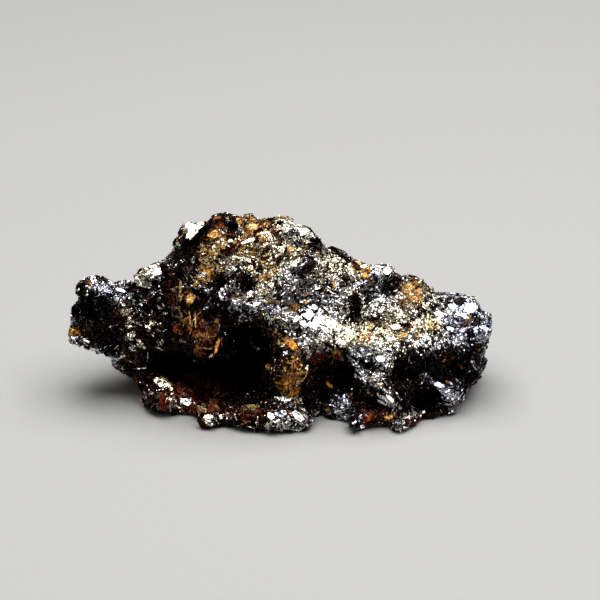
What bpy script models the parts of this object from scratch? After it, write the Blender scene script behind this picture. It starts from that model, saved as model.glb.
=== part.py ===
"""A hand specimen of specular hematite, modelled as the one solid that it is.

The tables hold millimetres, which MM turns into metres.  +X is the specimen's right, +Y its back and +Z
up; the origin is on the surface it rests on, under the middle of its bounding box.
"""

import math
import random

import bmesh
import bpy
from mathutils import Euler, Matrix, Vector, kdtree, noise
from mathutils.bvhtree import BVHTree

MM = 0.001
NODE_NAME = "hematite_mass"
SEED = 7

# The specimen is displayed from its front, this far above the horizon.
DISPLAY_TILT = math.radians(25.0)

# The main forms: name, centre, half sizes, turn in degrees about x, y and z.
LUMPS = (
    ("hump_core", (-6.0, 2.0, 17.0), (13.5, 13.5, 18.0), (0, 0, 0)),
    ("hump_crest", (-6.0, 0.0, 30.0), (9.5, 9.0, 7.0), (0, 8, 0)),
    ("hump_front", (-7.0, -5.5, 21.5), (10.0, 8.5, 8.5), (20, 0, 0)),
    ("hump_left_face", (-13.5, 0.5, 24.5), (7.5, 10.0, 11.5), (0, 4, 0)),
    ("hump_right_shoulder", (2.0, 2.0, 26.0), (8.0, 9.0, 8.0), (0, 34, 0)),
    ("right_ridge_high", (9.5, 3.5, 17.5), (12.5, 12.0, 10.0), (0, 24, 0)),
    ("right_ridge_low", (20.5, 4.0, 13.5), (12.0, 12.0, 10.5), (0, 16, 0)),
    ("right_end", (32.5, 0.0, 10.5), (9.5, 10.5, 10.5), (0, 6, 0)),
    ("right_ledge", (15.5, -6.5, 14.0), (14.0, 8.0, 4.0), (12, 5, 0)),
    ("right_foot", (21.0, -7.0, 4.0), (15.5, 8.8, 9.5), (0, 0, 0)),
    ("right_heel", (31.0, -6.0, 3.6), (7.0, 7.5, 6.0), (0, 0, 0)),
    ("right_toe", (24.0, -16.0, 1.0), (3.2, 3.6, 2.6), (0, 0, 0)),
    ("cave_right_wall", (2.0, -9.0, 8.5), (4.5, 8.0, 11.5), (0, -10, 0)),
    ("cave_left_wall", (-15.0, -7.0, 15.5), (4.0, 6.5, 8.0), (0, -6, 0)),
    ("base_slab", (-10.0, 0.0, 1.0), (18.0, 12.0, 3.2), (0, 0, 0)),
    ("left_shoulder", (-22.0, 2.0, 15.0), (7.5, 10.5, 12.5), (0, 8, 0)),
    ("left_brow", (-20.0, -5.5, 16.0), (7.5, 5.5, 5.0), (0, 0, 0)),
    ("left_knob_top", (-34.0, -0.5, 18.5), (7.5, 6.5, 5.0), (0, 4, 0)),
    ("left_knob_front", (-36.5, -3.0, 14.5), (6.0, 6.0, 5.5), (0, 0, 0)),
    ("left_neck", (-28.5, 0.5, 13.5), (7.0, 8.0, 8.5), (0, 20, 0)),
    ("left_root", (-26.0, 1.5, 5.0), (7.0, 9.0, 6.0), (0, 30, 0)),
    ("back_mass", (0.0, 11.5, 9.0), (27.0, 8.5, 11.0), (0, 4, 0)),
    ("back_step", (12.0, 15.5, 5.0), (12.0, 5.5, 6.0), (0, 0, 0)),
    ("back_spur", (-16.0, 14.0, 12.0), (8.0, 6.0, 9.0), (0, 10, 0)),
)

# Angular blocks that break the outline: name, centre, half sizes, turn.
BLOCKS = (
    ("pale_blade", (-17.6, -1.5, 33.5), (2.6, 2.2, 3.2), (10, 12, 0)),
    ("crest_left_crag", (-11.5, -0.5, 36.0), (2.4, 2.4, 2.4), (0, 20, 30)),
    ("crest_right_crag", (0.5, 0.5, 34.5), (3.0, 2.6, 2.6), (0, 35, 20)),
    ("shoulder_crag", (6.5, 1.5, 29.5), (2.8, 3.0, 2.6), (0, 30, 15)),
    ("ridge_knob", (19.0, 2.5, 24.0), (3.4, 3.0, 2.8), (0, 18, 10)),
    ("end_crag", (39.0, -1.5, 15.0), (3.0, 3.6, 2.4), (0, 20, 20)),
    ("end_top", (34.5, 0.0, 18.2), (5.0, 4.0, 3.0), (0, 8, 0)),
    ("left_step", (-25.0, 1.5, 24.0), (4.0, 4.0, 3.4), (0, -18, 10)),
    ("left_buttress", (-18.2, -7.0, 21.0), (1.5, 3.0, 8.0), (0, -4, 10)),
    ("knob_tip", (-40.0, -4.5, 13.2), (3.0, 3.0, 2.4), (0, 20, 30)),
    ("knob_corner", (-38.0, -0.5, 21.5), (3.0, 3.0, 2.8), (0, 0, 20)),
    ("red_foot", (17.5, -15.0, 1.5), (3.2, 3.5, 3.0), (0, 20, 30)),
    ("face_rib", (20.4, -14.5, 6.5), (1.6, 2.6, 4.6), (0, -38, 0)),
)

# Hollows: name, centre, half sizes, turn.
HOLLOWS = (
    ("cave", (-7.4, -12.0, 11.0), (6.2, 17.0, 10.4), (-8, 4, 0)),
    ("cave_left_branch", (-18.5, -12.0, 8.6), (8.5, 12.5, 5.6), (-8, 6, 0)),
    ("cave_floor", (-13.5, -12.0, 5.6), (8.5, 14.0, 4.6), (-4, 0, 0)),
    ("back_hollow", (10.0, 23.0, 14.5), (6.0, 6.5, 4.5), (12, 0, 0)),
    ("back_undercut", (-13.0, 22.0, 3.5), (7.5, 5.0, 4.0), (0, 0, 0)),
    ("right_undercut", (42.0, -3.0, 1.0), (5.5, 8.0, 5.0), (0, 0, 0)),
)

# The rim in front of the cave: name, centre, half sizes, turn.
RIM = (
    ("lip_right", (-1.0, -15.0, 1.6), (8.0, 5.2, 3.6), (0, 0, 4)),
    ("lip_cave", (-7.0, -15.5, 1.0), (5.0, 4.0, 3.0), (0, 0, 0)),
    ("lip_middle", (-13.0, -12.5, 0.2), (6.5, 5.0, 2.6), (0, 0, -10)),
    ("lip_left", (-22.5, -7.0, 1.2), (6.5, 4.8, 4.0), (0, 6, -20)),
    ("leaning_plate", (-22.0, -8.6, 3.6), (2.6, 0.9, 2.2), (-24, 10, -24)),
)

# Pockets sunk into the displayed face before the crystals grow over it, and the smaller holes left
# between them: name, place (across, up), half width, height and depth.
POCKETS = (
    ("knob_pocket", (-37.4, 15.0), (2.6, 3.2, 4.0)),
    ("shoulder_pocket", (-22.5, 20.0), (2.0, 2.2, 2.6)),
    ("ridge_pocket", (15.4, 15.1), (2.0, 3.0, 3.4)),
    ("face_left_pocket", (12.0, 2.6), (4.4, 3.4, 5.5)),
    ("face_middle_pocket", (25.0, 3.5), (4.2, 3.0, 5.5)),
    ("face_low_pocket", (28.8, -1.4), (4.6, 3.4, 5.5)),
    ("face_right_pocket", (34.6, 3.0), (4.4, 2.6, 4.5)),
    ("foot_pocket", (7.6, -1.6), (2.8, 3.2, 5.0)),
)
HOLES = (
    ("hump_left_hole", (-11.6, 20.9), (1.3, 1.7, 3.0)),
    ("hump_right_hole", (-6.4, 20.5), (1.7, 1.7, 3.4)),
    ("crest_hole", (-9.8, 32.0), (1.9, 1.5, 2.0)),
    ("knob_hole", (-38.0, 15.2), (1.7, 2.2, 3.0)),
    ("wall_hole", (7.6, 5.9), (2.2, 1.2, 2.2)),
    ("slope_hole", (3.4, 16.4), (1.0, 1.5, 1.8)),
    ("ridge_hole", (21.6, 19.3), (1.3, 1.3, 2.0)),
    ("notch_hole", (15.6, 15.4), (1.1, 2.3, 2.6)),
    ("shoulder_hole", (-19.4, 11.0), (1.3, 1.5, 2.4)),
    ("end_hole", (30.2, 10.2), (1.2, 0.9, 1.6)),
)

# The outline of the displayed face: across and up from the origin, square to the display direction.
OUTLINE = (
    (-42.4, 9.7), (-41.4, 12.5), (-41.3, 15.5), (-39.2, 17.5), (-40.2, 19.7), (-39.6, 21.7), (-36.4, 22.5),
    (-33.4, 21.4), (-29.0, 21.1), (-28.0, 23.5), (-24.2, 24.7), (-21.8, 26.7), (-20.2, 29.3), (-19.4, 32.5),
    (-15.6, 32.5), (-12.2, 34.7), (-6.2, 34.4), (-3.6, 33.3), (1.0, 33.9), (2.8, 32.0), (4.6, 32.3),
    (7.4, 29.5), (9.0, 27.9), (12.2, 26.7), (16.0, 24.9), (17.6, 24.0), (21.4, 24.5), (22.2, 22.9),
    (27.2, 21.7), (31.4, 18.7), (35.2, 18.9), (38.2, 17.7), (39.4, 15.7), (41.8, 13.7), (41.0, 10.1),
    (40.2, 7.9), (41.1, 5.7), (39.8, 3.1), (37.0, 0.3), (35.6, -2.9), (34.8, -5.7), (33.2, -7.0),
    (25.6, -6.3), (23.4, -8.2), (20.6, -7.1), (17.4, -8.8), (15.2, -7.5), (9.6, -5.0), (6.2, -4.8),
    (5.2, -7.7), (3.2, -8.7), (-5.6, -8.6), (-8.2, -7.0), (-15.4, -6.9), (-16.6, -4.8), (-25.8, -4.0),
    (-27.6, -1.9), (-28.2, 1.7), (-30.6, 2.9), (-33.0, 4.7), (-34.2, 7.5), (-36.6, 7.7), (-39.2, 9.1),
)
REACH = 45.0

# The flat face that the specimen rests on, across and back, and how much higher the rest of its
# underside is: a face of few corners, well apart, so that it lies still.
RESTING_FACE = ((-22.2, -2.0), (-9.2, -15.5), (1.8, -16.0), (29.8, 0.0), (17.8, 16.0), (-16.2, 14.0))
BASE_RECESS = 0.6

# The rock is trimmed to this share of the outline before crystals grow on it, and they to the whole.
TRIM_SCALE = 0.98

# How round a lump is and how faceted a pit.
LUMP_SUBDIVISIONS, PIT_SUBDIVISIONS = 4, 2

# The colour, metallic value and roughness of the crystals.
BASE_COLOUR = (0.085, 0.088, 0.1, 1.0)
METALLIC, ROUGHNESS = 1.0, 0.34

# The closed skins that the forms are fused into, first coarse and then fine.
LUMP_VOXEL, FINE_VOXEL = 0.9, 0.5
TRIANGLES = 9900

# Crags pushed in and out of the skin, and how much finer and fainter their second layer is.
CRAG_HEIGHT, CRAG_SPACING = 1.4, 7.0
CRAG_DETAIL, CRAG_FAINTNESS = 2.3, 0.5

# Cleavage: how far apart the patches of parallel plates and the flat faces are, how much a face leans at
# random, from what facing and how strongly it is pulled to the plates' plane, how much further it spreads
# along the plates than across them, and how far it steps in or out.
PATCH_SPACING, FACE_SPACING = 9.0, 2.6
FACE_LEAN = 0.16
PLATE_FACING, PLATE_PULL = 0.55, 2.8
FACE_FLATNESS = 1.9
STEP_HEIGHT = 0.45
NEAREST_FACES = 8

# Books of plates grown on the skin: how far apart, how far they lean, and the plates in them.
BOOK_SPACING = 5.5
BOOK_LEAN = (0.2, 1.2)
BOOK_SINK = 0.45
PLATES_PER_BOOK = (1, 3)
PLATE_HALF_WIDTH = (1.3, 2.9)
PLATE_HALF_THICKNESS = 0.5
PLATE_STRETCH = (0.8, 1.3)
PLATE_SLIP = 0.3
PLATE_OVERLAP = 1.15


def clear_scene():
    """Removes what the scene starts with."""
    for old in list(bpy.data.objects):
        bpy.data.objects.remove(old, do_unlink=True)


def place(item, name, centre, half, turn):
    """Names a unit primitive, and gives it its size, turn and place in its mesh."""
    item.name = name
    item.scale = Vector(half) * MM
    item.rotation_euler = Euler([math.radians(angle) for angle in turn])
    item.location = Vector(centre) * MM
    bpy.ops.object.transform_apply(location=True, rotation=True, scale=True)
    return item


def add_lump(name, centre, half, turn, subdivisions=LUMP_SUBDIVISIONS):
    """A rounded form."""
    bpy.ops.mesh.primitive_ico_sphere_add(subdivisions=subdivisions, radius=1.0)
    return place(bpy.context.object, name, centre, half, turn)


def add_block(name, centre, half, turn):
    """An angular form."""
    bpy.ops.mesh.primitive_cube_add(size=2.0)
    return place(bpy.context.object, name, centre, half, turn)


def join(objects, name):
    """Makes several objects one, whose shells still cross."""
    bpy.ops.object.select_all(action="DESELECT")
    for item in objects:
        item.select_set(True)
    bpy.context.view_layer.objects.active = objects[0]
    bpy.ops.object.join()
    whole = bpy.context.object
    whole.name = name
    whole.data.name = name
    return whole


def apply(item, kind, **settings):
    """Adds a modifier with these settings and applies it."""
    modifier = item.modifiers.new(kind.title(), kind)
    for key, value in settings.items():
        setattr(modifier, key, value)
    bpy.context.view_layer.objects.active = item
    bpy.ops.object.modifier_apply(modifier=modifier.name)


def remesh(item, voxel):
    """Turns crossing shells into one closed skin."""
    apply(item, "REMESH", mode="VOXEL", voxel_size=voxel * MM)


def cut(mass, tool, operation="DIFFERENCE"):
    """Cuts the mass with a tool, which is then removed."""
    apply(mass, "BOOLEAN", operation=operation, object=tool)
    bpy.data.objects.remove(tool, do_unlink=True)


def display_frame():
    """Turns (across, up, towards the viewer) into the specimen's own axes."""
    return Matrix.Rotation(math.pi / 2 - DISPLAY_TILT, 3, "X")


def add_pit(mass, name, where, half):
    """A faceted cutter, centred where the display direction through a place meets the mass."""
    frame = display_frame()
    towards = frame @ Vector((0.0, 0.0, 1.0))
    start = frame @ (Vector((where[0], where[1], REACH)) * MM)
    tree = BVHTree.FromObject(mass, bpy.context.evaluated_depsgraph_get())
    hit, _, _, _ = tree.ray_cast(start, -towards)
    tilt = math.degrees(frame.to_euler().x)
    return add_lump(name, hit / MM, half, (tilt, 0, 0), subdivisions=PIT_SUBDIVISIONS)


def add_prism(name, outline, turn, scale=1.0):
    """A block that reaches right through the specimen along its own Z axis, with a scaled outline."""
    curve = bpy.data.curves.new(name, "CURVE")
    curve.dimensions = "2D"
    curve.fill_mode = "BOTH"
    curve.extrude = REACH * MM
    spline = curve.splines.new("POLY")
    spline.points.add(len(outline) - 1)
    for point, (across, up) in zip(spline.points, outline):
        point.co = (across * scale * MM, up * scale * MM, 0.0, 1.0)
    spline.use_cyclic_u = True
    guide = bpy.data.objects.new(name + "_guide", curve)
    bpy.context.scene.collection.objects.link(guide)
    guide.rotation_euler = turn.to_euler()
    bpy.context.view_layer.update()
    mesh = bpy.data.meshes.new_from_object(guide.evaluated_get(bpy.context.evaluated_depsgraph_get()))
    block = bpy.data.objects.new(name, mesh)
    block.matrix_world = guide.matrix_world.copy()
    bpy.context.scene.collection.objects.link(block)
    bpy.data.objects.remove(guide, do_unlink=True)
    work = bmesh.new()
    work.from_mesh(mesh)
    bmesh.ops.remove_doubles(work, verts=work.verts, dist=0.01 * MM)
    bmesh.ops.recalc_face_normals(work, faces=work.faces)
    work.to_mesh(mesh)
    work.free()
    return block


def add_floor(top):
    """A block with its upper face this high, which the underside is cut flat with."""
    return add_block("floor", (0.0, 0.0, top - REACH), (2.0 * REACH, 2.0 * REACH, REACH), (0, 0, 0))


def flatten_base(mass):
    """Cuts the underside: the resting face at the bottom, and the rest of it a little higher."""
    recess = add_floor(BASE_RECESS)
    cut(recess, add_prism("resting_face", RESTING_FACE, Matrix.Identity(3)))
    cut(mass, recess)
    cut(mass, add_floor(0.0))


def settle(mass):
    """Brings the middle of the bounding box's underside to the origin."""
    corners = [Vector(corner) for corner in mass.bound_box]
    low = Vector([min(corner[axis] for corner in corners) for axis in range(3)])
    high = Vector([max(corner[axis] for corner in corners) for axis in range(3)])
    middle = (low + high) / 2.0
    mass.data.transform(Matrix.Translation((-middle.x, -middle.y, -low.z)))


def roughen(mass):
    """Pushes the skin in and out in crags."""
    moved = []
    for vertex in mass.data.vertices:
        where = vertex.co / (CRAG_SPACING * MM)
        swell = noise.noise(where) + CRAG_FAINTNESS * noise.noise(where * CRAG_DETAIL)
        moved.append(vertex.co + vertex.normal * swell * CRAG_HEIGHT * MM)
    for vertex, co in zip(mass.data.vertices, moved):
        vertex.co = co


def spread(vertices, spacing, rng):
    """Picks vertices at random, about this far apart."""
    order = list(vertices)
    rng.shuffle(order)
    taken = {}
    for vertex in order:
        key = tuple(math.floor(c / (spacing * MM)) for c in vertex.co)
        taken.setdefault(key, vertex)
    return list(taken.values())


def tree_of(points):
    """A search tree of these points."""
    tree = kdtree.KDTree(len(points))
    for index, point in enumerate(points):
        tree.insert(point, index)
    tree.balance()
    return tree


def random_direction(rng):
    """A direction with no bias."""
    return Vector([rng.gauss(0.0, 1.0) for _ in range(3)]).normalized()


def add_books(mass, rng):
    """Books of parallel six-sided plates, each half sunk in the skin."""
    bpy.ops.mesh.primitive_cylinder_add(vertices=6, radius=1.0, depth=2.0)
    pattern = bpy.context.object
    pattern.name = "plate"
    plates = []
    for vertex in spread(mass.data.vertices, BOOK_SPACING, rng):
        axis = (vertex.normal + random_direction(rng) * rng.uniform(*BOOK_LEAN)).normalized()
        turn = axis.to_track_quat("Z", "Y")
        wide = rng.uniform(*PLATE_HALF_WIDTH)
        sideways = turn @ Vector((1.0, 0.0, 0.0))
        layers = rng.randint(*PLATES_PER_BOOK)
        for layer in range(layers):
            rise = (layer - BOOK_SINK * layers) * 2.0 * PLATE_HALF_THICKNESS
            slip = sideways * rng.uniform(-PLATE_SLIP, PLATE_SLIP) * wide
            half = (wide * rng.uniform(*PLATE_STRETCH), wide, PLATE_HALF_THICKNESS * PLATE_OVERLAP)
            where = Matrix.Translation(vertex.co + (axis * rise + slip) * MM)
            size = Matrix.Diagonal(Vector(half) * MM).to_4x4()
            plate = pattern.copy()
            plate.data = pattern.data.copy()
            plate.data.transform(where @ turn.to_matrix().to_4x4() @ size)
            bpy.context.scene.collection.objects.link(plate)
            plates.append(plate)
    bpy.data.objects.remove(pattern, do_unlink=True)
    return plates


def cleave(mass, rng):
    """Breaks the skin into flat cleavage faces, which lean with the plates of the patch they are in."""
    vertices = mass.data.vertices
    patches = spread(vertices, PATCH_SPACING, rng)
    patch_tree = tree_of([vertex.co for vertex in patches])
    patch_axes = [random_direction(rng) for _ in patches]
    faces = []
    for vertex in spread(vertices, FACE_SPACING, rng):
        _, patch, _ = patch_tree.find(vertex.co)
        axis = patch_axes[patch]
        facing = axis.dot(vertex.normal)
        normal = vertex.normal + random_direction(rng) * FACE_LEAN
        if abs(facing) > PLATE_FACING:
            normal += axis * math.copysign(PLATE_PULL, facing)
        normal.normalize()
        step = rng.uniform(-STEP_HEIGHT, STEP_HEIGHT) * MM
        faces.append((vertex.co + vertex.normal * step, normal, axis))
    tree = tree_of([co for co, _, _ in faces])
    squash = FACE_FLATNESS ** 2 - 1.0
    moved = []
    for vertex in vertices:
        best, best_score = None, None
        for _, index, _ in tree.find_n(vertex.co, NEAREST_FACES):
            co, normal, axis = faces[index]
            away = vertex.co - co
            score = away.length_squared + squash * away.dot(axis) ** 2
            if best is None or score < best_score:
                best, best_score = index, score
        co, normal, _ = faces[best]
        moved.append(vertex.co - normal * (vertex.co - co).dot(normal))
    for vertex, co in zip(vertices, moved):
        vertex.co = co


def add_finish(mass):
    """The crystals' dark steel colour and metallic lustre."""
    finish = bpy.data.materials.new("specular_hematite")
    finish.use_nodes = True
    shader = finish.node_tree.nodes["Principled BSDF"]
    shader.inputs["Base Color"].default_value = BASE_COLOUR
    shader.inputs["Metallic"].default_value = METALLIC
    shader.inputs["Roughness"].default_value = ROUGHNESS
    mass.data.materials.clear()
    mass.data.materials.append(finish)
    mass.data.shade_flat()


def main():
    """Builds the specimen."""
    rng = random.Random(SEED)
    clear_scene()
    mass = join([add_lump(*row) for row in LUMPS] + [add_block(*row) for row in BLOCKS], NODE_NAME)
    remesh(mass, LUMP_VOXEL)
    for row in HOLLOWS:
        cut(mass, add_lump(*row))
    mass = join([mass] + [add_lump(*row) for row in RIM], NODE_NAME)
    remesh(mass, LUMP_VOXEL)
    for row in POCKETS:
        cut(mass, add_pit(mass, *row))
    remesh(mass, LUMP_VOXEL)
    roughen(mass)
    remesh(mass, LUMP_VOXEL)
    cut(mass, add_prism("trim", OUTLINE, display_frame(), TRIM_SCALE), "INTERSECT")
    remesh(mass, FINE_VOXEL)
    cleave(mass, rng)
    mass = join([mass] + add_books(mass, rng), NODE_NAME)
    remesh(mass, FINE_VOXEL)
    for row in HOLES:
        cut(mass, add_pit(mass, *row))
    cut(mass, add_prism("outline", OUTLINE, display_frame()), "INTERSECT")
    remesh(mass, FINE_VOXEL)
    apply(mass, "DECIMATE", ratio=TRIANGLES / (2 * len(mass.data.polygons)))
    flatten_base(mass)
    settle(mass)
    add_finish(mass)


main()
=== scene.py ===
"""The looks of a hand specimen of specular hematite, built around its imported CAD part.

Lengths are in millimetres in the tables and the size fields, and MM turns them into metres.  The specimen
is displayed from its front, DISPLAY.tilt above the horizon.  Places on its displayed face are given as
(across, up) from the origin, square to the display direction.
"""

import logging
import math
from dataclasses import dataclass, field
from enum import Enum

import bpy
import numpy as np
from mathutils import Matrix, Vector, kdtree, noise
from mathutils.bvhtree import BVHTree


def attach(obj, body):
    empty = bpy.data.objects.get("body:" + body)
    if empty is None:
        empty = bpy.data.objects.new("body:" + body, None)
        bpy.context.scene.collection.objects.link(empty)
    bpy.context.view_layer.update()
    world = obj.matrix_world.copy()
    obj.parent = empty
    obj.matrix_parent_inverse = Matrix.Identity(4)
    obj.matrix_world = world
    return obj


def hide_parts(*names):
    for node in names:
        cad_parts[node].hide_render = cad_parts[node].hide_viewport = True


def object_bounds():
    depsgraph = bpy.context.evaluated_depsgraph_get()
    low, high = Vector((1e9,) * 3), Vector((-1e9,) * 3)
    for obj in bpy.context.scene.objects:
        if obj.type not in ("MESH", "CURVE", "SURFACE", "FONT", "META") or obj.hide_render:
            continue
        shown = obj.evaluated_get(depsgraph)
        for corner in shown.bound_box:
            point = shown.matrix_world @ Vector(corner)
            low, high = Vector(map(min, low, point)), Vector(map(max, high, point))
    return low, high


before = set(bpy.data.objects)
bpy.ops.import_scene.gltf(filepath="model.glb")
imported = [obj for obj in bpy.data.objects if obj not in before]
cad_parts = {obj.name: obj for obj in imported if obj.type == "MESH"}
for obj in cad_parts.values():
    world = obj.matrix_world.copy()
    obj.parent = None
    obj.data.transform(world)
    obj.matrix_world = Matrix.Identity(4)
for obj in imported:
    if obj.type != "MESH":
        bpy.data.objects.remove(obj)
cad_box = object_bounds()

MM = 0.001
# The CAD node that the pieces replace, and the body that they are on.
NODE = "hematite_mass"
BODY = "root"
LOG = logging.getLogger("hematite")

Array = np.ndarray
Colour = tuple[float, float, float]


def rows(kind: type, *values: tuple) -> tuple:
    """Makes an object of a class from each row of its fields' values."""
    return tuple(kind(*row) for row in values)


# --- Display -----------------------------------------------------------------------------------------


@dataclass(frozen=True)
class Display:
    """The direction from which the specimen is displayed.

    Attributes:
        tilt: How far the viewer is above the horizon, in radians.
    """

    tilt: float = math.radians(25.0)

    @property
    def towards(self) -> Array:
        """Unit vector from the specimen to the viewer."""
        return np.array([0.0, -math.cos(self.tilt), math.sin(self.tilt)])

    @property
    def up(self) -> Array:
        """Unit vector up the displayed face."""
        return np.array([0.0, math.sin(self.tilt), math.cos(self.tilt)])

    def project(self, points: Array) -> tuple[Array, Array]:
        """How far across and how far up the displayed face points in millimetres are."""
        return points[:, 0], points @ self.up


DISPLAY = Display()
# Where a plate faces when it mirrors the middle of the key light to the viewer.
LIGHTWARD = np.array([0.05, -0.42, 0.906])


# --- Zones -------------------------------------------------------------------------------------------


class Coat(Enum):
    """What covers a crystal plate."""

    SILVER = "silver"
    BLACK = "black"
    OCHRE = "ochre"
    RUST = "rust"


@dataclass(frozen=True)
class Spot:
    """A soft oval zone on the displayed face.

    Attributes:
        across: Place across the face.
        up: Place up the face.
        long: Distance along it at which it has faded to about a third.
        wide: The same distance across it.
        turn: Direction of its length, in degrees from level.
        strength: How much it adds at its middle.
    """

    across: float
    up: float
    long: float
    wide: float
    turn: float = 0.0
    strength: float = 1.0

    def at(self, across: Array, up: Array) -> Array:
        """How strong the zone is at some places.

        Args:
            across: Their places across the face.
            up: Their places up it.

        Returns:
            The strengths.
        """
        turn = math.radians(self.turn)
        east, north = across - self.across, up - self.up
        along = (east * math.cos(turn) + north * math.sin(turn)) / self.long
        aside = (north * math.cos(turn) - east * math.sin(turn)) / self.wide
        return self.strength * np.exp(-(along**2) - aside**2)


def total(spots: tuple[Spot, ...], across: Array, up: Array) -> Array:
    """How strong some zones are together at some places."""
    return sum((spot.at(across, up) for spot in spots), np.zeros(len(up)))


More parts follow.
